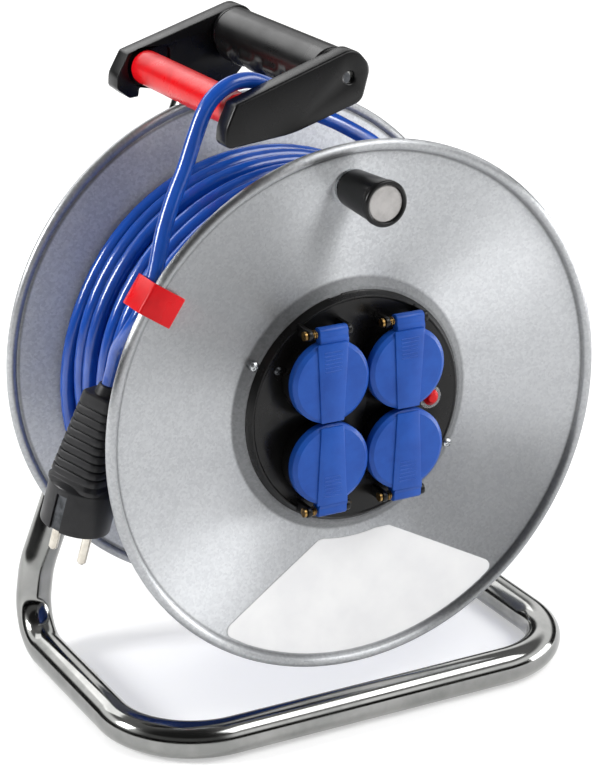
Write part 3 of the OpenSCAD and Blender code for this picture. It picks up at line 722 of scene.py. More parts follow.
# Handle and knob: glass-filled nylon, black, satin, grain of about half a millimetre.
HANDLE_NYLON = Finish(
    "handle_nylon", "#0e0e0f", "#090909", (0.24, 0.36), specular=0.28, mottle_mm=35, grain_mm=0.55
)
# Socket insert: moulded thermoset, black, smoother than the handle.
THERMOSET = Finish(
    "black_thermoset", "#0e0d0d", "#090909", (0.24, 0.36),
    specular=0.28, mottle_mm=22, grain_mm=0.5, grain_depth_mm=0.01,
)
# Plug: moulded rubber, black, dull.
PLUG_RUBBER = Finish(
    "plug_rubber", "#1e1e20", "#161618", (0.36, 0.48),
    specular=0.35, mottle_mm=12, grain_mm=0.7, grain_depth_mm=0.03,
)
# Guide roller, clip and button: polypropylene, signal red, smooth.
RED_PLASTIC = Finish(
    "red_polypropylene", "#d80c16", "#c40a14", (0.24, 0.36),
    specular=0.22, mottle_mm=20, grain_mm=0.8, grain_depth_mm=0.012,
)
# Hinge pins and springs: turned and drawn brass, tarnished brown.
BRASS = Finish(
    "drawn_brass", "#a8864f", "#6e5634", (0.24, 0.38),
    metallic=1.0, mottle_mm=3, grain_mm=0.3, grain_depth_mm=0.005,
)
# Plug pins: nickel-plated brass, bright.
NICKEL = Finish(
    "nickel_plate", "#cfcac0", "#bcb6aa", (0.12, 0.2), metallic=1.0, mottle_mm=6, grain_depth_mm=0.004
)
# Bare sticker: white polyester film with a satin laminate.
STICKER = Finish("white_film", "#f0f0f1", "#f7f7f7", (0.34, 0.40), grain_mm=0.7, grain_depth_mm=0.004)
# Knob's cap: anodised disc, pale grey.
CAP_GREY = Finish(
    "cap_disc", "#bdbab8", "#aaa7a5", (0.30, 0.38), mottle_mm=6, grain_mm=0.4, grain_depth_mm=0.006
)
# Terminal block: ivory melamine.
IVORY = Finish("ivory_melamine", "#d9d3be", "#cfc8b0", (0.4, 0.5), mottle_mm=8)
# Cut-out's collar: clear polycarbonate, polished.
CLEAR = ClearFinish(
    "clear_polycarbonate", "#e8eaec", "#e2e4e6", (0.08, 0.12), ior=1.45, mottle_mm=10, grain_depth_mm=0.0
)


def dress(piece: bpy.types.Object, finish: Finish) -> bpy.types.Object:
    """Gives a piece its finish.

    Args:
        piece: The piece.
        finish: Its finish.

    Returns:
        The piece.
    """
    piece.data.materials.clear()
    piece.data.materials.append(finish.make())
    return piece


def settle(piece: bpy.types.Object, body: str, finish: Finish, slot: str, *nodes: str) -> bpy.types.Object:
    """Dresses a new piece, puts it on its body and hides the nodes that it stands for.

    Args:
        piece: The finished piece.
        body: The body that it moves with.
        finish: Its finish.
        slot: The record's material slot; not used.
        *nodes: The frame's nodes that it replaces.

    Returns:
        The piece.
    """
    dress(piece, finish)
    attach(piece, body)
    if nodes:
        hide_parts(*nodes)
    LOG.info("made %s on %s", piece.name, body)
    return piece


# ---------------------------------------------------------------- camera and light


@dataclass(frozen=True)
class Softbox:
    """A rectangular lamp that faces the reel.

    Attributes:
        name: Its name.
        place: Where it hangs, in metres.
        size: Its width and height, in metres.
        watts: Its power.
    """

    name: str
    place: tuple[float, float, float]
    size: tuple[float, float]
    watts: float

    def hang(self) -> None:
        """Hangs the lamp, out of the camera's sight."""
        data = bpy.data.lights.new(self.name, "AREA")
        data.shape = "RECTANGLE"
        data.size, data.size_y = self.size
        data.energy = self.watts
        lamp = bpy.data.objects.new(self.name, data)
        bpy.context.scene.collection.objects.link(lamp)
        lamp.location = self.place
        aim = LAMP_TARGET - Vector(self.place)
        lamp.rotation_euler = aim.to_track_quat("-Z", "Y").to_euler()
        lamp.visible_camera = False


SOFTBOXES = (
    Softbox("softbox_top", (0.65, -0.75, 1.3), (1.1, 0.6), 12.0),
    Softbox("softbox_left", (-1.5, 0.45, 0.9), (0.4, 0.5), 21.0),
    Softbox("softbox_right", (1.15, -0.4, 0.2), (0.7, 0.34), 6.5),
    Softbox("softbox_back", (-0.4, 1.8, 1.6), (1.8, 0.8), 11.0),
)


@dataclass
class Studio:
    """A white sweep, soft lamps, and a camera at the eye's place for this view.

    Attributes:
        eye: The camera's place, in millimetres from the hub.
        azimuth: The camera's turn round the upright, in radians.
        elevation: The camera's height as an angle, in radians.
        roll: The camera's turn about its own line of sight, in radians.
        focal_px: The camera's focal length in pixels.
        frame_px: The longer side of its picture in pixels.
        floor_size: The floor's side, in metres.
        floor_drop: How far under the ground the floor lies, in metres.
        floor_glow: The floor's own light near the reel and far from it.
        glow_at: Distances from the reel, in metres, that the floor's light rises between.
        sky: What mirrors see of the sky at shares of its height from nadir to zenith.
    """

    eye: tuple[float, float, float] = (-598.9, -1040.3, 463.8)
    azimuth: float = -0.495
    elevation: float = 0.357
    roll: float = 0.003
    focal_px: float = 2470.64
    frame_px: float = 765.0
    floor_size: float = 24.0
    floor_drop: float = 0.0004
    floor_glow: tuple[float, float] = (0.40, 0.68)
    glow_at: tuple[float, float] = (0.5, 2.0)
    sky: tuple[tuple[float, float], ...] = (
        (0.0, 0.02), (0.24, 0.03), (0.32, 1.6), (0.50, 1.6), (0.60, 0.22), (0.88, 0.28), (1.0, 0.5)
    )

    def camera(self) -> None:
        """Puts the camera in place."""
        data = bpy.data.cameras.new("view")
        data.sensor_width = 36.0
        data.lens = self.focal_px / self.frame_px * data.sensor_width
        data.clip_start, data.clip_end = 0.05, 30.0
        camera = bpy.data.objects.new("view", data)
        bpy.context.scene.collection.objects.link(camera)
        sa, ca = math.sin(self.azimuth), math.cos(self.azimuth)
        se, ce = math.sin(self.elevation), math.cos(self.elevation)
        back = Vector((sa * ce, -ca * ce, se))
        right = (-back).cross(Vector((0, 0, 1))).normalized()
        up = right.cross(-back)
        turn = Matrix((right, up, back)).transposed() @ Matrix.Rotation(self.roll, 3, "Z")
        camera.matrix_world = Matrix.Translation(DATUM.at(*self.eye)) @ turn.to_4x4()
        bpy.context.scene.camera = camera

    def floor(self) -> None:
        """Lays a pale floor that the camera sees as white, with the reel's shadow on it."""
        bpy.ops.object.select_all(action="DESELECT")
        bpy.ops.mesh.primitive_plane_add(size=self.floor_size, location=(0, 0, -self.floor_drop))
        floor = bpy.context.active_object
        floor.name = "floor"
        material = bpy.data.materials.new("floor_paper")
        material.use_nodes = True
        tree = material.node_tree
        tree.nodes.clear()
        seen = self.any_ray(tree, "Is Camera Ray", "Is Glossy Ray", "Is Transmission Ray")
        paper = add_node(
            tree,
            "ShaderNodeBsdfPrincipled",
            {"Base Color": grey(0.78), "Roughness": 0.8, "Specular IOR Level": 0.2},
        )
        where = add_node(tree, "ShaderNodeTexCoord").outputs["Object"]
        away = add_node(tree, "ShaderNodeVectorMath", {0: where}, operation="LENGTH").outputs["Value"]
        (near, far), (dim, bright) = self.glow_at, self.floor_glow
        lift = add_node(
            tree,
            "ShaderNodeMapRange",
            {"Value": away, "From Min": near, "From Max": far, "To Min": dim, "To Max": bright},
        )
        glow = add_node(tree, "ShaderNodeEmission", {"Color": grey(1.0), "Strength": lift})
        dark = add_node(tree, "ShaderNodeEmission", {"Color": grey(0.0), "Strength": 0.0})
        extra = add_node(tree, "ShaderNodeMixShader", {0: seen, 1: dark, 2: glow})
        total = add_node(tree, "ShaderNodeAddShader", {0: paper, 1: extra})
        add_node(tree, "ShaderNodeOutputMaterial", {"Surface": total})
        floor.data.materials.append(material)

    @staticmethod
    def any_ray(tree: bpy.types.NodeTree, *kinds: str) -> bpy.types.NodeSocket:
        """Tells rays of some kinds from the rest.

        Args:
            tree: The nodes that they are told apart in.
            *kinds: The light path's outputs for them.

        Returns:
            An output that is 1 for a ray of any of these kinds.
        """
        path = add_node(tree, "ShaderNodeLightPath")
        found = path.outputs[kinds[0]]
        for kind in kinds[1:]:
            pair = {0: found, 1: path.outputs[kind]}
            found = add_node(tree, "ShaderNodeMath", pair, operation="MAXIMUM").outputs[0]
        return found

    def world(self) -> None:
        """Sets an even pale sky, which reflections see with the dark gaps between softboxes."""
        world = bpy.data.worlds.new("studio")
        bpy.context.scene.world = world
        world.use_nodes = True
        tree = world.node_tree
        tree.nodes.clear()
        toward = add_node(tree, "ShaderNodeTexCoord").outputs["Generated"]
        split = add_node(tree, "ShaderNodeSeparateXYZ", {"Vector": toward})
        stops = [(height, grey(value)) for height, value in self.sky]
        height = add_node(tree, "ShaderNodeValToRGB", {"Fac": split.outputs["Z"]}, stops)
        sides: dict[str | int, bpy.types.Node] = {}
        for i, (axis, low, high) in enumerate((("X", 0.0, 0.4), ("Y", -0.2, 0.4))):
            limits = {"From Min": low, "From Max": high, "To Min": 0.1, "To Max": 1.0}
            sides[i] = add_node(
                tree,
                "ShaderNodeMapRange",
                {"Value": split.outputs[axis], **limits},
                interpolation_type="SMOOTHSTEP",
            )
        side = add_node(tree, "ShaderNodeMath", sides, operation="MAXIMUM")
        even = add_node(tree, "ShaderNodeBackground", {"Color": grey(0.78), "Strength": 0.55})
        seen = add_node(tree, "ShaderNodeBackground", {"Color": grey(1.0), "Strength": 1.0})
        mirrored = add_node(tree, "ShaderNodeBackground", {"Color": height, "Strength": side})
        glossy = self.any_ray(tree, "Is Glossy Ray")
        first = add_node(tree, "ShaderNodeMixShader", {0: glossy, 1: even, 2: mirrored})
        direct = self.any_ray(tree, "Is Camera Ray", "Is Transmission Ray")
        last = add_node(tree, "ShaderNodeMixShader", {0: direct, 1: first, 2: seen})
        add_node(tree, "ShaderNodeOutputWorld", {"Surface": last})

    def build(self) -> None:
        """Makes the camera, the floor and the sky, and hangs the lamps: front, left, right and back."""
        self.camera()
        self.floor()
        self.world()
        for softbox in SOFTBOXES:
            softbox.hang()
        bpy.context.scene.view_settings.view_transform = "Standard"


# ---------------------------------------------------------------- cord


@dataclass
class Winding:
    """The cord on the drum, in five layers from the grommet to where it leaves, and its free stretch.

    Attributes:
        plug: The plug on its end.
        cord_d: The sheath's diameter.
        layer_r: Radius of the outer layer.
        layer_turns: Turns in the outer layer before the last, lifted one.
        layer_pitch: Distance between two turns of the outer layer.
        layer_gap: How much wider its one open gap is.
        gap_at: Turns after which the open gap begins.
        gap_turns: Turns that the open gap is spread over.
        start_y: Where the outer layer starts.
        exit_at: Angle at which the cord leaves the drum.
        exit_y: Where along the drum it leaves.
        lift_turns: Turns in the last, lifted stretch, which crosses over the others.
        lift_lead: How many turns before that stretch its rise begins.
        lift_ease: How many turns its rise takes.
        lift_gap: Room between that stretch and the turns that it crosses.
        start_r: Radius of the cord where it comes through the drum.
        start_turns: Turns in which it rises from there to the first layer.
        climb_turns: Turns from one layer to the next.
        grommet_r: Radius at which the cord leaves the grommet.
        grommet_at: Angle of the grommet.
        grommet_y: Where along the drum the grommet is.
        drum_len: Width of the drum over its rims.
        cone: Radius and depth of two places on a flange's cone: near its rim, and at its step.
        sheet: Thickness of a flange.
        side_gap: Room between a flange and the nearest turn.
        inner_r: Radii of the four inner layers.
        inner_turns: Turns in each of them.
        chosen: Points of the free stretch, from the drum over the roller and through the clip.
        lead: Points of the wound stretch where it goes straight to the roller.
        cut_gap: Room between the wound stretch's end and the free one's, so that the drum can turn.
        collar_gap: Room between the free stretch's end and the plug's collar.
        inner_rings: Sections in each turn of an inner layer.
        outer_rings: Sections in each turn of the outer layer.
    """

    plug: Plug
    cord_d: float = 8.2
    layer_r: float = 111.0
    layer_turns: float = 9.0
    layer_pitch: float = 11.2
    layer_gap: float = 6.5
    gap_at: float = 6.35
    gap_turns: float = 0.6
    start_y: float = 14.57
    exit_at: float = 34.0
    exit_y: float = 84.0
    lift_turns: float = 0.62
    lift_lead: float = 0.06
    lift_ease: float = 0.2
    lift_gap: float = 0.5
    start_r: float = 67.0
    start_turns: float = 0.2
    climb_turns: float = 0.5
    grommet_r: float = 69.0
    grommet_at: float = 250.0
    grommet_y: float = 80.0
    drum_len: float = DRUM_LEN
    cone: tuple[tuple[float, float], tuple[float, float]] = ((134.0, 4.2), STEP)
    sheet: float = SHEET
    side_gap: float = 0.5
    inner_r: tuple[float, ...] = (77.6, 85.95, 94.3, 102.65)
    inner_turns: tuple[float, ...] = (4.38, 12.0, 12.0, 12.4)
    chosen: tuple[tuple[float, float, float], ...] = (
        (23, 51.2, 135.2), (5.4, 42.2, 145.2), (-10.4, 34.6, 153.2), (-22.3, 29.3, 160.6), (-33.2, 26, 168),
        (-44, 24.6, 174), (-53.5, 24.5, 177.1), (-63.5, 24.5, 176.1), (-72.3, 24.5, 171.1),
        (-78.3, 24.5, 163.5), (-84, 24, 151), (-90.4, 22, 137), (-97.8, 20, 123.2), (-105, 17.2, 107.2),
        (-110.6, 14, 90.4), (-115.6, 12.4, 77.6), (-121.2, 13.2, 66.8), (-125.2, 18.2, 56.8),
        (-126.8, 25.8, 47.4),
    )
    lead: tuple[tuple[float, float, float], ...] = (
        (84.5, 82, 87), (75, 78, 96.5), (60, 71, 109.5), (41, 61, 123.5)
    )
    cut_gap: float = 0.12
    collar_gap: float = 0.05
    inner_rings: int = 36
    outer_rings: int = 72

    @property
    def lift_r(self) -> float:
        """Radius of the last stretch, which crosses over the other turns."""
        return self.layer_r + self.cord_d + self.lift_gap

    @property
    def total(self) -> float:
        """Turns in the outer layer with its last, lifted part."""
        return self.layer_turns + self.lift_turns

    def outer(self, t: float) -> tuple[float, float]:
        """Follows the outer layer.

        Args:
            t: Turns from the layer's start.

        Returns:
            The radius there, and the place along the drum.
        """
        lifted = ease((t - self.layer_turns + self.lift_lead) / self.lift_ease)
        radius = lerp(self.layer_r, self.lift_r, lifted)
        if t < self.layer_turns:
            opened = ease((t - self.gap_at) / self.gap_turns)
            y = self.start_y + self.layer_pitch * t + self.layer_gap * opened
        else:
            back = self.start_y + self.layer_pitch * self.layer_turns + self.layer_gap
            y = lerp(back, self.exit_y, ease((t - self.layer_turns) / self.lift_turns))
        return radius, y

    def _side(self, radius: float) -> float:
        """Finds how far behind the front rim the first turn of a layer lies.

        Args:
            radius: The layer's radius.

        Returns:
            Millimetres from the rim's plane to the middle of the cord.
        """
        (rim_r, rim_y), (step_r, step_y) = self.cone
        depth = rim_y + (rim_r - radius) / (rim_r - step_r) * (step_y - rim_y)
        return depth + self.sheet + self.cord_d / 2 + self.side_gap

    def stages(self) -> list[tuple[float, float, float, float, float]]:
        """Plans the cord's way from the grommet up to the outer layer.

        Returns:
            Each stage's turns, its radius at both ends, and its place along the drum at both ends.
        """
        planned = [(self.start_turns, self.start_r, self.inner_r[0], self.grommet_y, self.grommet_y)]
        y = self.grommet_y
        for i, (radius, turns) in enumerate(zip(self.inner_r, self.inner_turns)):
            backwards = i % 2 == 0
            goal = self.drum_len - self._side(radius) if backwards else self._side(radius)
            planned.append((turns - (self.start_turns if i == 0 else 0.0), radius, radius, y, goal))
            if i + 1 < len(self.inner_r):
                above = self.inner_r[i + 1]
                y = self.drum_len - self._side(above) if backwards else self._side(above)
            else:
                above, y = self.layer_r, self.start_y
            planned.append((self.climb_turns, radius, above, goal, y))
        return planned

    def drum_route(self) -> list[Vector]:
        """Follows the cord from the grommet through every layer to where it leaves the drum.

        Returns:
            Points of its centreline, in metres.
        """
        stages = self.stages()
        first = self.exit_at - FULL_TURN * (self.total + sum(stage[0] for stage in stages))
        points: list[Vector] = []
        done = 0.0
        for turns, r0, r1, y0, y1 in stages:
            rings = max(2, round(turns * self.inner_rings))
            for k in range(rings):
                t = k / rings
                blend = t if r0 == r1 else ease(t)
                angle = first + FULL_TURN * (done + turns * t)
                points.append(DATUM.polar(lerp(r0, r1, blend), angle, lerp(y0, y1, blend)))
            done += turns
        rings = round(self.total * self.outer_rings)
        for k in range(rings + 1):
            t = self.total * k / rings
            radius, y = self.outer(t)
            points.append(DATUM.polar(radius, self.exit_at - FULL_TURN * (self.total - t), y))
        knots = [points[-1], self.leaving(), *(DATUM.at(*p) for p in self.lead)]
        return points[:-1] + self.smoothed(knots)

    def leaving(self) -> Vector:
        """Finds where the cord is a diameter of its own past the outer layer.

        Returns:
            A point on the straight that it leaves the layer by, in metres.
        """
        a = math.radians(self.exit_at)
        along = Vector((-math.sin(a), 0, math.cos(a))) * self.cord_d * MM
        return DATUM.polar(self.lift_r, self.exit_at, self.exit_y) + along

    @staticmethod
    def smoothed(knots: Sequence[Vector], steps: int = 6) -> list[Vector]:
        """Runs a smooth curve through knots.

        Args:
            knots: Points that the curve passes through, in metres.
            steps: Pieces between two knots.

        Returns:
            Points of the curve, from the first knot to the last.
        """
        padded = [2 * knots[0] - knots[1], *knots, 2 * knots[-1] - knots[-2]]
        points: list[Vector] = []
        for p0, p1, p2, p3 in zip(padded, padded[1:], padded[2:], padded[3:]):
            for k in range(steps):
                t = k / steps
                points.append(
                    0.5 * (2 * p1 + (p2 - p0) * t + (2 * p0 - 5 * p1 + 4 * p2 - p3) * t**2
                           + (3 * p1 - p0 - 3 * p2 + p3) * t**3)
                )
        points.append(knots[-1])
        return points

    def free_start(self) -> Vector:
        """Gives the place where the stretch on the drum ends and the free one starts."""
        return DATUM.at(*self.lead[-1])

    def free_route(self) -> list[Vector]:
        """Smooths the chosen points from the drum over the roller and through the clip to the plug.

        Returns:
            Points of its centreline, in metres.
        """
        start = self.free_start()
        along = (start - DATUM.at(*self.lead[-2])).normalized() * MM
        top, up = DATUM.at(*self.plug.top), self.plug.up * MM
        collar = self.plug.collar_len
        ends = [top + up * (collar + self.cord_d), top + up * (collar + self.collar_gap)]
        starts = [start + along * self.cut_gap, start + along * self.cord_d]
        return self.smoothed([*starts, *(DATUM.at(*p) for p in self.chosen), *ends])

    def build(self) -> None:
        """Makes the wound cord and its free stretch, and the plug on its end."""
        route = self.drum_route()
        wound = Bench.tube("cord_winding", route, self.cord_d / 2, 4)
        settle(wound, "drum", SHEATH, "blue_cord", "winding_core", "winding_top")
        LOG.info("wound cord %.2f m", run_length(route))
        DATUM.polar(self.grommet_r, self.grommet_at, self.grommet_y)
        free_route = self.free_route()
        free = Bench.tube("cord_free_stretch", free_route, self.cord_d / 2, 8)
        settle(free, "stand", SHEATH, "blue_cord", "cord_free")
        LOG.info("free cord %.3f m", run_length(free_route))
        self.free_start()
        self.plug.build()


# ---------------------------------------------------------------- drum


@dataclass
class Drum:
    """Two dished flanges with rolled edges, and the screws and sticker on the front one.

    Attributes:
        knob: The winding knob, which has a dimple under it.
        rim_r: Outer radius of the rolled bead.
        bead_r: Radius of the bead's round section.
        sheet: Thickness of the sheet.
        edge: Radius and depth of the cone where it meets the bead's groove.
        step: Radius and depth of the cone where it meets the step round the sockets.
        land_y: Depth of the flat inside the step.
        mouth_r: Radius of the opening for the sockets.
        hub_r: Radius of the rear flange's opening for its bush.
        drum_len: Width of the drum over its rims.
        screw_r: Radius that the flange's screws lie on.
        screw_at: Their angles.
        film: Thickness of the sticker.
        film_gap: Room between the sticker and the cone.
        film_r: Inner and outer radius of the sticker.
        steps: Flats round a flange.
    """

    knob: Knob
    rim_r: float = RIM_R
    bead_r: float = 2.8
    sheet: float = SHEET
    edge: tuple[float, float] = (138.7, 3.48)
    step: tuple[float, float] = STEP
    land_y: float = 10.6
    mouth_r: float = 60.8
    hub_r: float = 15.3
    drum_len: float = DRUM_LEN
    screw_r: float = 66.3
    screw_at: tuple[float, float] = (151.5, 331.5)
    film: float = 0.25
    film_gap: float = 0.04
    film_r: tuple[float, float] = (75.6, 137.6)
    steps: int = 256

    def section(self, inner: Sequence[tuple[float, float, float]]) -> Outline:
        """Draws a flange's section: the bead with its groove, the cone, and what lies inside the step.

        Args:
            inner: Corners inside the step along the front face, each with its round's radius.

        Returns:
            The closed section as radius and depth pairs.
        """
        cx, cy = self.rim_r - self.bead_r, self.bead_r
        angles = [math.radians(a) for a in range(-172, 154, 13)]
        bead = [(cx + self.bead_r * math.cos(a), cy + self.bead_r * math.sin(a)) for a in angles]
        back = [(*self.edge, 0.5), (*self.step, 0.6), *inner]
        front = [*reversed(inner), (*self.step, 1.6), (*self.edge, 0.3)]
        behind = [(r, y + self.sheet, rounding) for r, y, rounding in back]
        corners = [(*bead[-1], 0.0), *behind, *front, (*bead[0], 0.0)]
        return bead[1:-1] + filleted(corners, steps=3, closed=False)

    def front(self) -> None:
        """Makes the front flange with its seat for the sockets, and the pads under its screws."""
        inner = [(65.2, self.land_y, 0.8), (self.mouth_r, self.land_y, 0.0)]
        section = self.section(inner)
        disc = Bench.lathe("flange_front", section, DATUM.at(0, 0, 0), steps=self.steps, closed=True)
        top = self.land_y - 0.15
        pad = filleted([(0, top, 0), (2.6, top, 0.4), (2.8, 14.6, 0), (0, 14.6, 0)], closed=False)
        pads = [Bench.lathe("pad", pad, DATUM.polar(self.screw_r, at, 0), steps=24) for at in self.screw_at]
        dish = filleted([(0, 4.6, 0), (9.2, 4.7, 0.8), (10.6, 7.4, 0), (0, 7.4, 0)], closed=False)
        dimple = Bench.lathe("dimple", dish, self.knob.centre, steps=64)
        flange = Bench.join("flange_front", [disc, *pads, dimple])
        Bench.smooth(flange, 40)
        settle(flange, "drum", GALVANISED, "galvanised_sheet", "front_flange")

    def back(self) -> None:
        """Makes the rear flange, which is dished the other way and reaches in to the bush."""
        section = self.section([(self.hub_r, self.step[1], 0.0)])
        mirrored = [(r, self.drum_len - y) for r, y in section]
        flange = Bench.lathe("flange_rear", mirrored, DATUM.at(0, 0, 0), steps=self.steps, closed=True)
        Bench.smooth(flange, 40)
        settle(flange, "drum", GALVANISED_REAR, "galvanised_sheet", "back_flange")

    @staticmethod
    def screw(place: Vector, head_r: float) -> bpy.types.Object:
        """Makes one cross-recessed screw.

        Args:
            place: Where the underside of its head lies on its axis, in metres.
            head_r: Radius of its head, in millimetres.

        Returns:
            The screw's head.
        """
        profile = filleted(
            [(0, -1.9, 0), (1.2, -1.9, 1.0), (head_r, -0.9, 0.5), (head_r, 0, 0.1), (0, 0, 0)], closed=False
        )
        screw = Bench.lathe("screw", profile, place, steps=32)
        for turn in (28.0, 118.0):
            along = Vector((math.cos(math.radians(turn)), 0, math.sin(math.radians(turn))))
            across = BACK.cross(along)
            corners = [
                place + (along * i * 1.7 + across * j * 0.35 - BACK * 2.4) * MM
                for i, j in ((-1, -1), (1, -1), (1, 1), (-1, 1))
            ]
            Bench.carve(screw, Bench.slab("slot", corners, BACK * 1.5 * MM))
        return screw

    def screws(self) -> None:
        """Makes the cross-recessed screws of the flange and of the socket plate."""
        for name, radius, angles, y, head_r, finish, node in (
            ("flange_screws_cross", self.screw_r, self.screw_at, 10.43, 2.5, ZINC, "flange_screws"),
            ("plate_screws_cross", 54.2, (148.5, 328.5), 7.5, 2.3, DULL_ZINC_AND_SHADE, "plate_screws"),
        ):
            made = [self.screw(DATUM.polar(radius, angle, y), head_r) for angle in angles]
            screws = Bench.join(name, made)
            Bench.smooth(screws, 30)
            settle(screws, "drum", finish, "zinc_hardware", node)

    def sticker(self) -> None:
        """Lays the bare sticker on the front flange's cone, from the step down to the bead's groove."""
        inner, outer = self.film_r
        (edge_r, edge_y), (step_r, step_y) = self.edge, self.step
        slope = (step_y - edge_y) / (edge_r - step_r)
        inner_y, outer_y = (edge_y + (edge_r - r) * slope - self.film_gap for r in self.film_r)
        outside = [(inner, inner_y - self.film), (outer, outer_y - self.film)]
        section = [*outside, (outer, outer_y), (inner, inner_y)]
        sticker = Bench.lathe("sticker", section, DATUM.at(0, 0, 0), steps=self.steps, closed=True)
        angles = [math.radians(a) for a in range(-56, -122, -3)]
        arc = [(outer * math.cos(a), outer * math.sin(a), 0.0) for a in angles]
        outline = filleted(
            [(-18.6, -74, 3.0), (24.3, -74, 3.0), (87.2, -106.2, 4.0), *arc, (-81.6, -110.6, 4.0)]
        )
        cutter = Bench.plate("outline", outline, 0, 16)
        Bench.modify(sticker, "BOOLEAN", operation="INTERSECT", object=cutter, solver="EXACT")
        bpy.data.objects.remove(cutter)
        Bench.smooth(sticker, 30)
        settle(sticker, "drum", STICKER, "white_sticker", "flange_label")

    def build(self) -> None:
        """Makes both flanges, the screws and the sticker."""
        self.front()
        self.sticker()
        self.back()
        self.screws()


# ---------------------------------------------------------------- sockets


class Corner(Enum):
    """Where a socket lies on the plate: its sides of the hub, across and up."""

    TOP_LEFT = (-1, 1)
    TOP_RIGHT = (1, 1)
    BOTTOM_LEFT = (-1, -1)
    BOTTOM_RIGHT = (1, -1)

    @property
    def label(self) -> str:
        """Gives the corner's name as the frame's nodes and bodies have it."""
        return self.name.lower()


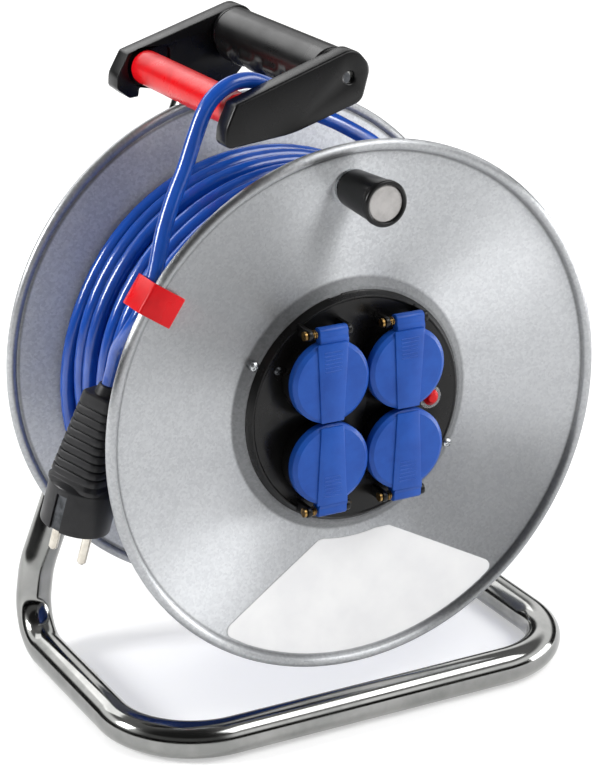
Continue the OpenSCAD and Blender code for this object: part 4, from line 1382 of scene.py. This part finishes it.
@dataclass
class SocketInsert:
    """The black plate with four lidded sockets and its thermal cut-out.

    Attributes:
        plate_r: Radius of the plate.
        plate_front: Depth of its front face.
        plate_t: Its thickness.
        pitch: Distance between two sockets' axes.
        well_out_r: Outer radius of a well, which fills its hole in the plate.
        lid_r: Radius of a lid.
        lid_front: Depth of a lid's front face.
        lid_back: Depth of its rear face.
        reach: Distance from a socket's axis to its lid's hinge.
        hinge_y: Depth of the hinge.
        hinge_r: Radius of the knuckle round the hinge.
        ear_x: Distance from the lid's middle to an ear.
        ear_w: Thickness of an ear.
        ear_r: Half an ear's width, and how far its round top rises past the hinge.
        ridges: How many raised ridges a lid has.
        ridge_pitch: Distance between two of them.
        spring_r: Radius of a closing spring's coils.
        spring_turns: How many coils it has.
        breaker: Place of the cut-out across and up.
        breaker_r: Radius of its hole.
    """

    plate_r: float = 63.6
    plate_front: float = 7.2
    plate_t: float = 3.3
    pitch: float = 45.2
    well_out_r: float = 21.3
    lid_r: float = 22.3
    lid_front: float = -7.8
    lid_back: float = -1.6
    reach: float = 26.0
    hinge_y: float = -3.2
    hinge_r: float = 3.4
    ear_x: float = 10.2
    ear_w: float = 2.4
    ear_r: float = 3.0
    ridges: int = 6
    ridge_pitch: float = 2.1
    spring_r: float = 2.15
    spring_turns: int = 2
    breaker: tuple[float, float] = (43.6, -0.8)
    breaker_r: float = 5.0

    def _local(self, corner: Corner) -> Callable[[float, float, float], Vector]:
        """Gives the map from a lid's own coordinates, with its hinge towards +Z, to the frame."""
        (side, up), half = corner.value, self.pitch / 2
        return lambda x, y, z: DATUM.at(side * half + x, y, up * (half + z))

    def ear(self, corner: Corner, x: float) -> bpy.types.Object:
        """Makes one hinge ear, which rises from the plate with a round top.

        Args:
            corner: The lid that it carries.
            x: Where it begins across the lid.

        Returns:
            The ear.
        """
        place = self._local(corner)
        foot, top = self.plate_front + 1, self.hinge_y - self.ear_r
        low, high = self.reach - self.ear_r, self.reach + self.ear_r
        outline = filleted([(foot, low, 0), (top, low, 2.9), (top, high, 2.9), (foot, high, 0)], steps=6)
        points = [place(x, y, z) for y, z in outline]
        return Bench.bevel(Bench.slab("ear", points, Vector((self.ear_w * MM, 0, 0))), 0.25, 2)

    def plate(self) -> None:
        """Makes the plate with its rounded edge, holes and ears."""
        front, back = self.plate_front, self.plate_front + self.plate_t
        profile = filleted(
            [(0, front, 0), (59.9, front, 0.1), (60.4, front - 0.4, 0.25), (61.1, front - 0.4, 0.35),
             (61.6, front + 0.4, 0.2), (self.plate_r - 0.6, front + 2.4, 0.4),
             (self.plate_r, front + 3.0, 0.2), (self.plate_r, back, 0.0), (0, back, 0)],
            steps=4,
            closed=False,
        )
        disc = Bench.lathe("socket_plate_face", profile, DATUM.at(0, 0, 0), steps=160)
        through = (front - 2.2, back + 1.5)
        half = self.pitch / 2
        for corner in Corner:
            side, up = corner.value
            hole = Bench.rod("hole", side * half, up * half, self.well_out_r + 0.1, *through, 72)
            Bench.carve(disc, hole)
        Bench.carve(disc, Bench.rod("hole", *self.breaker, self.breaker_r, *through, 36))
        notch = filleted([(-15, 61.4, 0.5), (-8, 62.6, 0.5), (-8, 70, 0), (-15, 70, 0)], steps=2)
        Bench.carve(disc, Bench.plate("notch", notch, *through))
        Bench.modify(disc, "DECIMATE", decimate_type="DISSOLVE", angle_limit=math.radians(0.5))
        Bench.modify(disc, "WELD", merge_threshold=0.02 * MM)
        Bench.bevel(disc, 0.3, 2, 40)
        ears = [self.ear(corner, x) for corner in Corner for x in (-self.ear_x - self.ear_w, self.ear_x)]
        plate = Bench.join("socket_plate_face", [disc, *ears])
        Bench.smooth(plate, 30)
        settle(plate, "drum", THERMOSET, "socket_black", "socket_plate")

    def cap(self, place: Callable[[float, float, float], Vector]) -> bpy.types.Object:
        """Turns a lid's shallow cap.

        Args:
            place: Map from the lid's coordinates to the frame.

        Returns:
            The cap.
        """
        depth = self.lid_back - self.lid_front
        profile = filleted(
            [(0, 0, 0), (20.1, 0, 0.3), (21.5, 1.0, 0.3), (self.lid_r, 1.5, 0.4), (self.lid_r, depth, 0.3),
             (20.4, depth, 0.2), (20.0, 2.4, 0.4), (0, 2.2, 0)],
            steps=3,
            closed=False,
        )
        return Bench.lathe("cap", profile, place(0, self.lid_front, 0), steps=112)

    def band(self, place: Callable[[float, float, float], Vector]) -> list[bpy.types.Object]:
        """Makes the raised band down a lid and the ridges across it.

        Args:
            place: Map from the lid's coordinates to the frame.

        Returns:
            The band and its ridges.
        """
        narrow, wide = 6.7, 8.9
        top, bottom = self.reach - 4.4, 1.0 - self.lid_r
        corners = [(-wide, top), (wide, top), (narrow, bottom), (-narrow, bottom)]
        points = [place(x, self.lid_front - 1.0, z) for x, z in corners]
        pieces = [Bench.bevel(Bench.slab("band", points, BACK * 1.6 * MM), 0.62, 2)]
        for i in range(self.ridges):
            z = 6.5 + i * self.ridge_pitch
            half = lerp(narrow, wide, (z + self.lid_r) / 44) - 3.4
            corners = [(-half, z - 0.35), (half, z - 0.35), (half, z + 0.35), (-half, z + 0.35)]
            points = [place(x, self.lid_front - 1.22, zz) for x, zz in corners]
            pieces.append(Bench.bevel(Bench.slab("ridge", points, BACK * 0.5 * MM), 0.12, 1))
        return pieces

    def knuckle(self, place: Callable[[float, float, float], Vector]) -> bpy.types.Object:
        """Makes the arm that joins a lid to its hinge, with the knuckle on its end.

        Args:
            place: Map from the lid's coordinates to the frame.

        Returns:
            The arm and knuckle in one.
        """
        left, width = -6.6, 16.4
        r, y, z = self.hinge_r, self.hinge_y, self.reach
        face, rear = self.lid_front + 0.4, self.lid_back - 0.4
        outline = filleted(
            [(rear, z - 9, 0), (face, z - 9, 0), (face, z - 3.2, 1.0), (y - r, z - 1.5, 0.6),
             (y - r, z + r, 3.3), (y + r, z + r, 3.3), (y + r, z - r, 3.3), (rear, z - 3.6, 0.3)],
            steps=6,
        )
        points = [place(left, depth, up) for depth, up in outline]
        return Bench.bevel(Bench.slab("knuckle", points, Vector((width * MM, 0, 0))), 0.55, 2, 40)

    def lid(self, corner: Corner) -> None:
        """Makes one lid: its cap, the raised band down it, and its knuckle.

        Args:
            corner: Which lid it is.
        """
        place = self._local(corner)
        cap, (band, *ridges) = self.cap(place), self.band(place)
        lid = Bench.join(f"socket_lid_{corner.label}", [cap, band, self.knuckle(place), *ridges])
        Bench.smooth(lid, 30)
        settle(lid, f"lid_{corner.label}_body", LID_NYLON, "blue_lid", f"lid_{corner.label}")

    def springs(self) -> None:
        """Winds the closing springs round the hinge pins."""
        coils = []
        rings = 24
        count = self.spring_turns * rings
        for corner in Corner:
            place = self._local(corner)
            points = []
            for i in range(count + 1):
                a = math.tau * i / rings
                y, z = self.hinge_y + self.spring_r * math.cos(a), self.reach + self.spring_r * math.sin(a)
                points.append(place(lerp(-9.5, -7.2, i / count), y, z))
            coil = Bench.tube("coil", points, 0.35, 2)
            Bench.only(coil)
            bpy.ops.object.convert(target="MESH")
            coils.append(bpy.context.active_object)
        springs = Bench.join("hinge_springs", coils)
        Bench.smooth(springs, 60)
        settle(springs, "drum", BRASS, "brass", "lid_springs")

    def button(self) -> None:
        """Makes the cut-out's domed red button."""
        profile = filleted(
            [(0, 1.6, 0), (2.4, 1.6, 0.8), (3.4, 3.0, 0.4), (4.4, 3.6, 0.5), (4.4, 16.5, 0.3), (0, 16.5, 0)],
            steps=4,
            closed=False,
        )
        across, up = self.breaker
        button = Bench.lathe("cutout_button", profile, DATUM.at(across, 0, up), steps=48)
        Bench.smooth(button, 35)
        settle(button, "button", RED_PLASTIC, "red_plastic", "reset_button")

    def build(self) -> None:
        """Makes the plate, the lids, the springs and the button."""
        self.plate()
        for corner in Corner:
            self.lid(corner)
        self.springs()
        self.button()


# ---------------------------------------------------------------- knob and clip


@dataclass
class Knob:
    """The winding knob, which turns on its pin.

    Attributes:
        reach: Distance of its axis from the drum's.
        at: Its angle round the drum.
        front: Depth of its front face.
        r: Its radius.
    """

    reach: float = 121.6
    at: float = 93.0
    front: float = -31.9
    r: float = 12.0

    @property
    def centre(self) -> Vector:
        """Gives the point where its axis meets the front rim's plane."""
        return DATUM.polar(self.reach, self.at, 0)

    def build(self) -> None:
        """Turns the knob's slightly tapered body with its front ring, and the pale disc inside the ring."""
        f, r = self.front, self.r
        profile = filleted(
            [(3.1, 2.1, 0), (9.0, 2.1, 0.5), (9.9, 0.6, 0.8), (r - 0.5, f + 4.6, 0.2),
             (r - 0.8, f + 4.2, 0.2), (r, f + 3.6, 0.4), (r, f, 1.4), (r - 2.3, f, 0.9),
             (r - 2.5, f + 2.6, 0.3), (3.1, f + 2.6, 0)],
            steps=5,
        )
        knob = Bench.lathe("winding_knob", profile, self.centre, steps=96, closed=True)
        Bench.smooth(knob, 30)
        settle(knob, "knob", HANDLE_NYLON, "black_plastic", "crank_knob")
        profile = filleted(
            [(0, f + 0.9, 0), (r - 3.0, f + 1.0, 0.5), (r - 2.45, f + 1.5, 0.2), (r - 2.45, f + 2.5, 0),
             (0, f + 2.5, 0)],
            steps=3,
            closed=False,
        )
        disc = Bench.lathe("knob_disc", profile, self.centre, steps=72)
        Bench.smooth(disc, 35)
        settle(disc, "knob", CAP_GREY, "grey_cap", "knob_cap")


@dataclass
class Clip:
    """The red clip over the front rim that holds the cord against the drum.

    Attributes:
        at: Its angle round the drum.
        width: Its width along the rim.
        rim: Radius of the rim that it's bent over.
        rim_gap: Room between the rim and the clip's roof.
    """

    at: float = 146.3
    width: float = 16.5
    rim: float = RIM_R
    rim_gap: float = 1.0

    def build(self) -> None:
        """Bends the clip's strip over the rim and rounds its edges."""
        roof = self.rim + self.rim_gap
        outline = filleted(
            [(128.5, -2.3, 0.5), (roof + 2, -2.3, 1.4), (roof + 2, 15, 4.0), (roof + 0.4, 19.8, 1.2),
             (134, 19.8, 0.8), (134, 18, 0.8), (roof - 1.2, 18, 0.5), (roof, 14.4, 3.0), (roof, -0.3, 0.5),
             (130.5, -0.3, 0.3), (130.5, 3.7, 0.2), (128.5, 4.0, 0.2)],
            steps=4,
        )
        a = math.radians(self.at)
        out = Vector((math.cos(a), 0, math.sin(a)))
        along = Vector((-math.sin(a), 0, math.cos(a)))
        base = DATUM.at(0, 0, 0) - along * self.width / 2 * MM
        points = [base + (out * r + BACK * y) * MM for r, y in outline]
        clip = Bench.slab("rim_clip", points, along * self.width * MM)
        Bench.bevel(clip, 0.5, 2, 40)
        Bench.smooth(clip, 30)
        settle(clip, "drum", RED_PLASTIC, "red_plastic", "cord_clip")


# ---------------------------------------------------------------- stand and handle


@dataclass
class Stand:
    """The one bent tube that is grip, upright, base and hub support.

    Attributes:
        tube_r: Radius of the tube.
        route: Corners of its centreline, as if every bend were sharp.
        bends: Radius of the bend at each corner.
        bend_step: Turn of each flat of a bend, in degrees.
        least_flats: The fewest flats of a bend.
    """

    tube_r: float = 10.0
    route: tuple[tuple[float, float, float], ...] = (
        (-8, 11, 176.5), (-8, 152, 176.5), (-124.5, 152, -122), (-130, 152, -163),
        (-130, -11, -163), (134, -11, -163), (134, 152, -163), (23, 152, -27.98),
    )
    bends: tuple[float, ...] = (0, 24, 60, 27, 48, 48, 40, 0)
    bend_step: float = 3.0
    least_flats: int = 10

    def _cut(self, i: int) -> float:
        """Works out how much of the straights beside it a bend takes.

        Args:
            i: Number of the corner.

        Returns:
            Millimetres from the corner to where the bend begins.
        """
        if i in (0, len(self.route) - 1):
            return 0.0
        a, b = self._way(i - 1), self._way(i)
        return self.bends[i] * math.tan(a.angle(b) / 2)

    def _way(self, i: int) -> Vector:
        """Gives the direction of one straight."""
        return (Vector(self.route[i + 1]) - Vector(self.route[i])).normalized()

    def build(self) -> None:
        """Draws the tube by extruding a ring along each straight and spinning it round each bend."""
        first, way = DATUM.at(*self.route[0]), self._way(0)
        bpy.ops.object.select_all(action="DESELECT")
        bpy.ops.mesh.primitive_circle_add(
            vertices=48, radius=self.tube_r * MM, fill_type="NGON", location=(0, 0, 0)
        )
        tube = bpy.context.active_object
        tube.name = "stand_tube"
        tube.data.transform(Matrix.Translation(first) @ way.to_track_quat("Z", "Y").to_matrix().to_4x4())
        bpy.ops.object.mode_set(mode="EDIT")
        bpy.ops.mesh.select_all(action="SELECT")
        last = len(self.route) - 1
        for i in range(last):
            way = self._way(i)
            run = (Vector(self.route[i + 1]) - Vector(self.route[i])).length - self._cut(i) - self._cut(i + 1)
            bpy.ops.mesh.extrude_region_move(TRANSFORM_OT_translate={"value": way * run * MM})
            if i + 1 == last:
                break
            after = self._way(i + 1)
            inward = (after - way * way.dot(after)).normalized()
            start = DATUM.at(*self.route[i + 1]) - way * self._cut(i + 1) * MM
            centre = start + inward * self.bends[i + 1] * MM
            angle = way.angle(after)
            flats = max(self.least_flats, round(math.degrees(angle) / self.bend_step))
            bpy.ops.mesh.spin(steps=flats, angle=angle, center=centre, axis=inward.cross(way))
        Bench.close_up(tube)
        Bench.smooth(tube, 45)
        settle(tube, "stand", CHROME, "chrome_tube", "frame_tube")


@dataclass
class Handle:
    """Two black arms with the grip between them.

    Attributes:
        front_y: Depths of the front arm's faces.
        back_y: Depths of the rear arm's faces.
        grip: Place of the grip's axis across and up.
        grip_r: Radius of the grip.
        roller: Place of the guide roller's axis across and up.
        swell: Height of the swellings between the fingers.
        finger: Distance between two swellings.
        fingers_y: Depths that the swellings lie between.
    """

    front_y: tuple[float, float] = (8.0, 20.0)
    back_y: tuple[float, float] = (131.0, 143.0)
    grip: tuple[float, float] = (-8.0, 176.5)
    grip_r: float = 13.2
    roller: tuple[float, float] = (-60.0, 162.3)
    swell: float = 2.5
    finger: float = 26.5
    fingers_y: tuple[float, float] = (24.25, 130.2)

    def front_arm(self) -> None:
        """Makes the front arm with its rounded edges and the recess of its screw."""
        outline = filleted(
            [(-68.6, 169.6, 3.0), (-2.0, 191.6, 9.0), (7.0, 181.0, 8.0), (2.2, 163.6, 7.0),
             (-37.0, 151.4, 60.0), (-74.8, 147.6, 3.5), (-74.0, 158.0, 20.0)],
            steps=8,
        )
        arm = Bench.plate("arm_front", outline, *self.front_y)
        Bench.carve(arm, Bench.rod("recess", self.grip[0] + 2.6, self.grip[1], 3.0, 6, 12, 32))
        Bench.bevel(arm, 1.3, 3, 35)
        Bench.smooth(arm, 32)
        settle(arm, "stand", HANDLE_NYLON, "black_plastic", "handle_arm_front")

    def back_arm(self) -> None:
        """Makes the rear arm, whose lower end hooks under and whose belly curves up to the grip."""
        outline = filleted(
            [(-70.0, 170.6, 2.5), (-2.0, 191.6, 9.0), (7.0, 181.0, 8.0), (4.5, 164.0, 8.0),
             (-9.0, 149.4, 16.0), (-54.2, 149.6, 3.0), (-64.0, 151.6, 1.0), (-64.8, 146.8, 0.8),
             (-69.8, 146.4, 2.5), (-77.0, 152.0, 2.5), (-76.6, 159.0, 10.0)],
            steps=8,
        )
        arm = Bench.plate("arm_back", outline, *self.back_y)
        x, z = self.roller
        r = 10.5
        pocket = filleted([(x - r, z - r, 9), (x + 14, z - r, 3), (x + 14, z + r, 3), (x - r, z + r, 9)])
        Bench.carve(arm, Bench.plate("pocket", pocket, self.back_y[0] - 1, self.back_y[0] + 2.5))
        Bench.bevel(arm, 1.3, 3, 35)
        Bench.smooth(arm, 32)
        settle(arm, "stand", HANDLE_NYLON, "black_plastic", "handle_arm_back")

    def sleeve(self) -> None:
        """Makes the grip: a round sleeve whose underside swells between four fingers."""
        y0, y1 = self.front_y[1] + 0.1, self.back_y[0] - 0.1
        r, rings = self.grip_r, 120
        profile: Outline = [(0, y0), (r - 0.6, y0), (r, y0 + 0.6)]
        profile += [(r, lerp(y0 + 0.6, y1 - 4.0, k / rings)) for k in range(1, rings + 1)]
        profile += [(r - 0.5, y1 - 3.7), (r - 0.5, y1 - 3.2), (r, y1 - 2.9)]
        profile += [(r, y1 - 0.6), (r - 0.6, y1), (0, y1)]
        x, z = self.grip
        centre = DATUM.at(x, 0, z)
        sleeve = Bench.lathe("grip_sleeve_ribbed", profile, centre, steps=72)
        underside = Vector((-0.5, 0, -0.866))
        first, last = self.fingers_y
        for vertex in sleeve.data.vertices:
            across = Vector((vertex.co.x - centre.x, 0, vertex.co.z - centre.z))
            if across.length < r * 0.9 * MM:
                continue
            y = vertex.co.y / MM - DATUM.rim_y
            if not first < y < last:
                continue
            facing = ease((across.normalized().dot(underside) - 0.55) / 0.3)
            wave = 0.5 + 0.5 * math.cos(math.tau * (y - first - self.finger / 2) / self.finger)
            vertex.co += across.normalized() * self.swell * MM * facing * ease(wave * 1.5)
        Bench.smooth(sleeve, 50)
        settle(sleeve, "stand", HANDLE_NYLON, "black_plastic", "grip_sleeve")

    def build(self) -> None:
        """Makes the arms and the grip."""
        self.front_arm()
        self.back_arm()
        self.sleeve()


# ---------------------------------------------------------------- plug


@dataclass
class Plug:
    """The moulded plug: a ribbed grip that widens to a round body with a slot for each earth strip.

    Attributes:
        top: The place on its axis that its own heights are counted from.
        tilt: How far its axis leans, in degrees.
        heading: The direction that it leans in, in degrees.
        spin: Its turn about its own axis, in degrees.
        body_r: Radius of the round body.
        grip_end: Height where the grip ends.
        face: Height of the face that the pins stand on.
        collar_len: Height of the collar's top.
        ribs: How many ribs the grip has.
        grip_half: Half the grip's width at size 1.
        grip_top: Height where the grip begins.
    """

    top: tuple[float, float, float] = (-131.1, 32.5, 19.7)
    tilt: float = 14.5
    heading: float = -29.4
    spin: float = -32.0
    body_r: float = 18.4
    grip_end: float = -46.0
    face: float = -71.0
    collar_len: float = 8.0
    ribs: int = 10
    grip_half: float = 9.4
    grip_top: float = 3.0

    @property
    def up(self) -> Vector:
        """Gives the direction that its cord comes from."""
        return self.pose.col[2].to_3d()

    @property
    def pose(self) -> Matrix:
        """Works out the plug's place.

        Returns:
            The turn and shift that bring it there, with its own Z up its cord.
        """
        turn = (
            Matrix.Rotation(math.radians(self.heading), 4, "Z")
            @ Matrix.Rotation(math.radians(self.tilt), 4, "Y")
            @ Matrix.Rotation(math.radians(self.spin), 4, "Z")
        )
        return Matrix.Translation(DATUM.at(*self.top)) @ turn

    def grip(self) -> bpy.types.Object:
        """Draws the grip by extruding and scaling one rounded outline, rib by rib.

        Returns:
            The grip, about its own axis.
        """
        half, height, size = self.grip_half, self.grip_top, 1.0
        outline = filleted([(x * half, y * half, 3.6) for x, y in ((-1, -1), (1, -1), (1, 1), (-1, 1))])
        piece = Bench.trace("grip", [Vector((x, y, height)) * MM for x, y in outline], closed=True)
        bpy.ops.mesh.edge_face_add()
        stations = [(2.2, 1.06)]
        bottom = self.grip_end + 3.0
        for i in range(self.ribs):
            z0, z1 = bottom * i / self.ribs, bottom * (i + 1) / self.ribs
            wide, wider = (lerp(1.08, 1.62, (i + part) / self.ribs) for part in (0, 0.75))
            groove = wider * 0.94
            stations += [(z0, wide), (z1 + 1.15, wider), (z1 + 0.95, groove), (z1 + 0.2, groove)]
        stations += [(self.grip_end + 1.5, 1.66), (self.grip_end - 1.0, 1.66)]
        for z, scale in stations:
            bpy.ops.mesh.extrude_region_move(TRANSFORM_OT_translate={"value": (0, 0, (z - height) * MM)})
            share = scale / size
            bpy.ops.transform.resize(value=(share, share, 1), center_override=(0, 0, z * MM))
            height, size = z, scale
        Bench.close_up(piece)
        return Bench.bevel(piece, 0.25, 2, 35)

    def body(self) -> bpy.types.Object:
        """Turns the round body and cuts the two slots that the earth strips lie in.

        Returns:
            The body, about its own axis.
        """
        profile = filleted(
            [(0, self.grip_end + 3, 0), (13.5, self.grip_end + 3, 1.0),
             (self.body_r, self.grip_end - 1.5, 1.8), (self.body_r, self.face, 1.1), (0, self.face, 0)],
            steps=5,
            closed=False,
        )
        body = Bench.lathe("body", profile, Vector(), Vector((0, 0, 1)), steps=96)
        half, inner, outer = 3.2, 16.0, 21.0
        for side in (-1, 1):
            low, high = side * inner, side * outer
            corners = [(-half, low), (half, low), (half, high), (-half, high)]
            points = [Vector((x, y, self.face - 1)) * MM for x, y in corners]
            Bench.carve(body, Bench.slab("slot", points, Vector((0, 0, 21 * MM))))
        return Bench.bevel(body, 0.2, 2, 45)

    def build(self) -> bpy.types.Object:
        """Makes the plug in one moulding, with its collar round the cord.

        Returns:
            The plug in its place.
        """
        top = self.collar_len
        profile = filleted([(0, top, 0), (5.3, top, 0.6), (6.8, 2.5, 0.5), (0, 2.5, 0)], closed=False)
        collar = Bench.lathe("collar", profile, Vector(), Vector((0, 0, 1)), steps=40)
        plug = Bench.join("plug_moulding", [self.grip(), self.body(), collar])
        plug.data.transform(self.pose)
        Bench.smooth(plug, 30)
        return settle(plug, "stand", PLUG_RUBBER, "black_rubber", "plug_body")


# ---------------------------------------------------------------- carried-over parts


CARRIED: tuple[tuple[Finish, tuple[str, ...]], ...] = (
    (HANDLE_NYLON, ("tube_end_cap", "hub_bush")),
    (CHROME, ("hub_bracket",)),
    (ZINC, ("grip_insert", "bracket_bolts", "bracket_nuts", "axle", "axle_nut", "axle_washer", "axle_clip")),
    (ZINC, ("roller_pin", "bush_screws", "knob_pin", "knob_washer")),
    # The plug's earth strips, bright metal in dark slots, and the handle's screw in its recess are dressed
    # dark as painted shade.
    (DULL_ZINC_AND_SHADE, ("handle_screw", "plug_earth_strips")),
    (RED_PLASTIC, ("guide_roller",)),
    (GALVANISED, ("drum_core",)),
    (PLUG_RUBBER, ("cord_grommet",)),
    (SHEATH, ("inner_lead",)),
    (IVORY, ("terminal_block",)),
    (THERMOSET, ("insert_cover", "breaker_body", *(f"socket_cup_{corner.label}" for corner in Corner))),
    (BRASS, ("contact_sleeves", "lid_pins")),
    (NICKEL, ("earth_clips", "plug_pins")),
    (CLEAR, ("breaker_ring",)),
)


def dress_carried() -> None:
    """Gives the frame's own nodes, which already have the right shape, their finishes."""
    for finish, names in CARRIED:
        for name in names:
            dress(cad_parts[name], finish)
            LOG.info("dressed %s", name)


def main() -> None:
    """Builds the studio, the cords and then each sub-assembly."""
    Studio().build()
    Winding(Plug()).build()
    knob = Knob()
    Drum(knob).build()
    SocketInsert().build()
    knob.build()
    Clip().build()
    Stand().build()
    Handle().build()
    dress_carried()


if __name__ == "__main__":
    main()
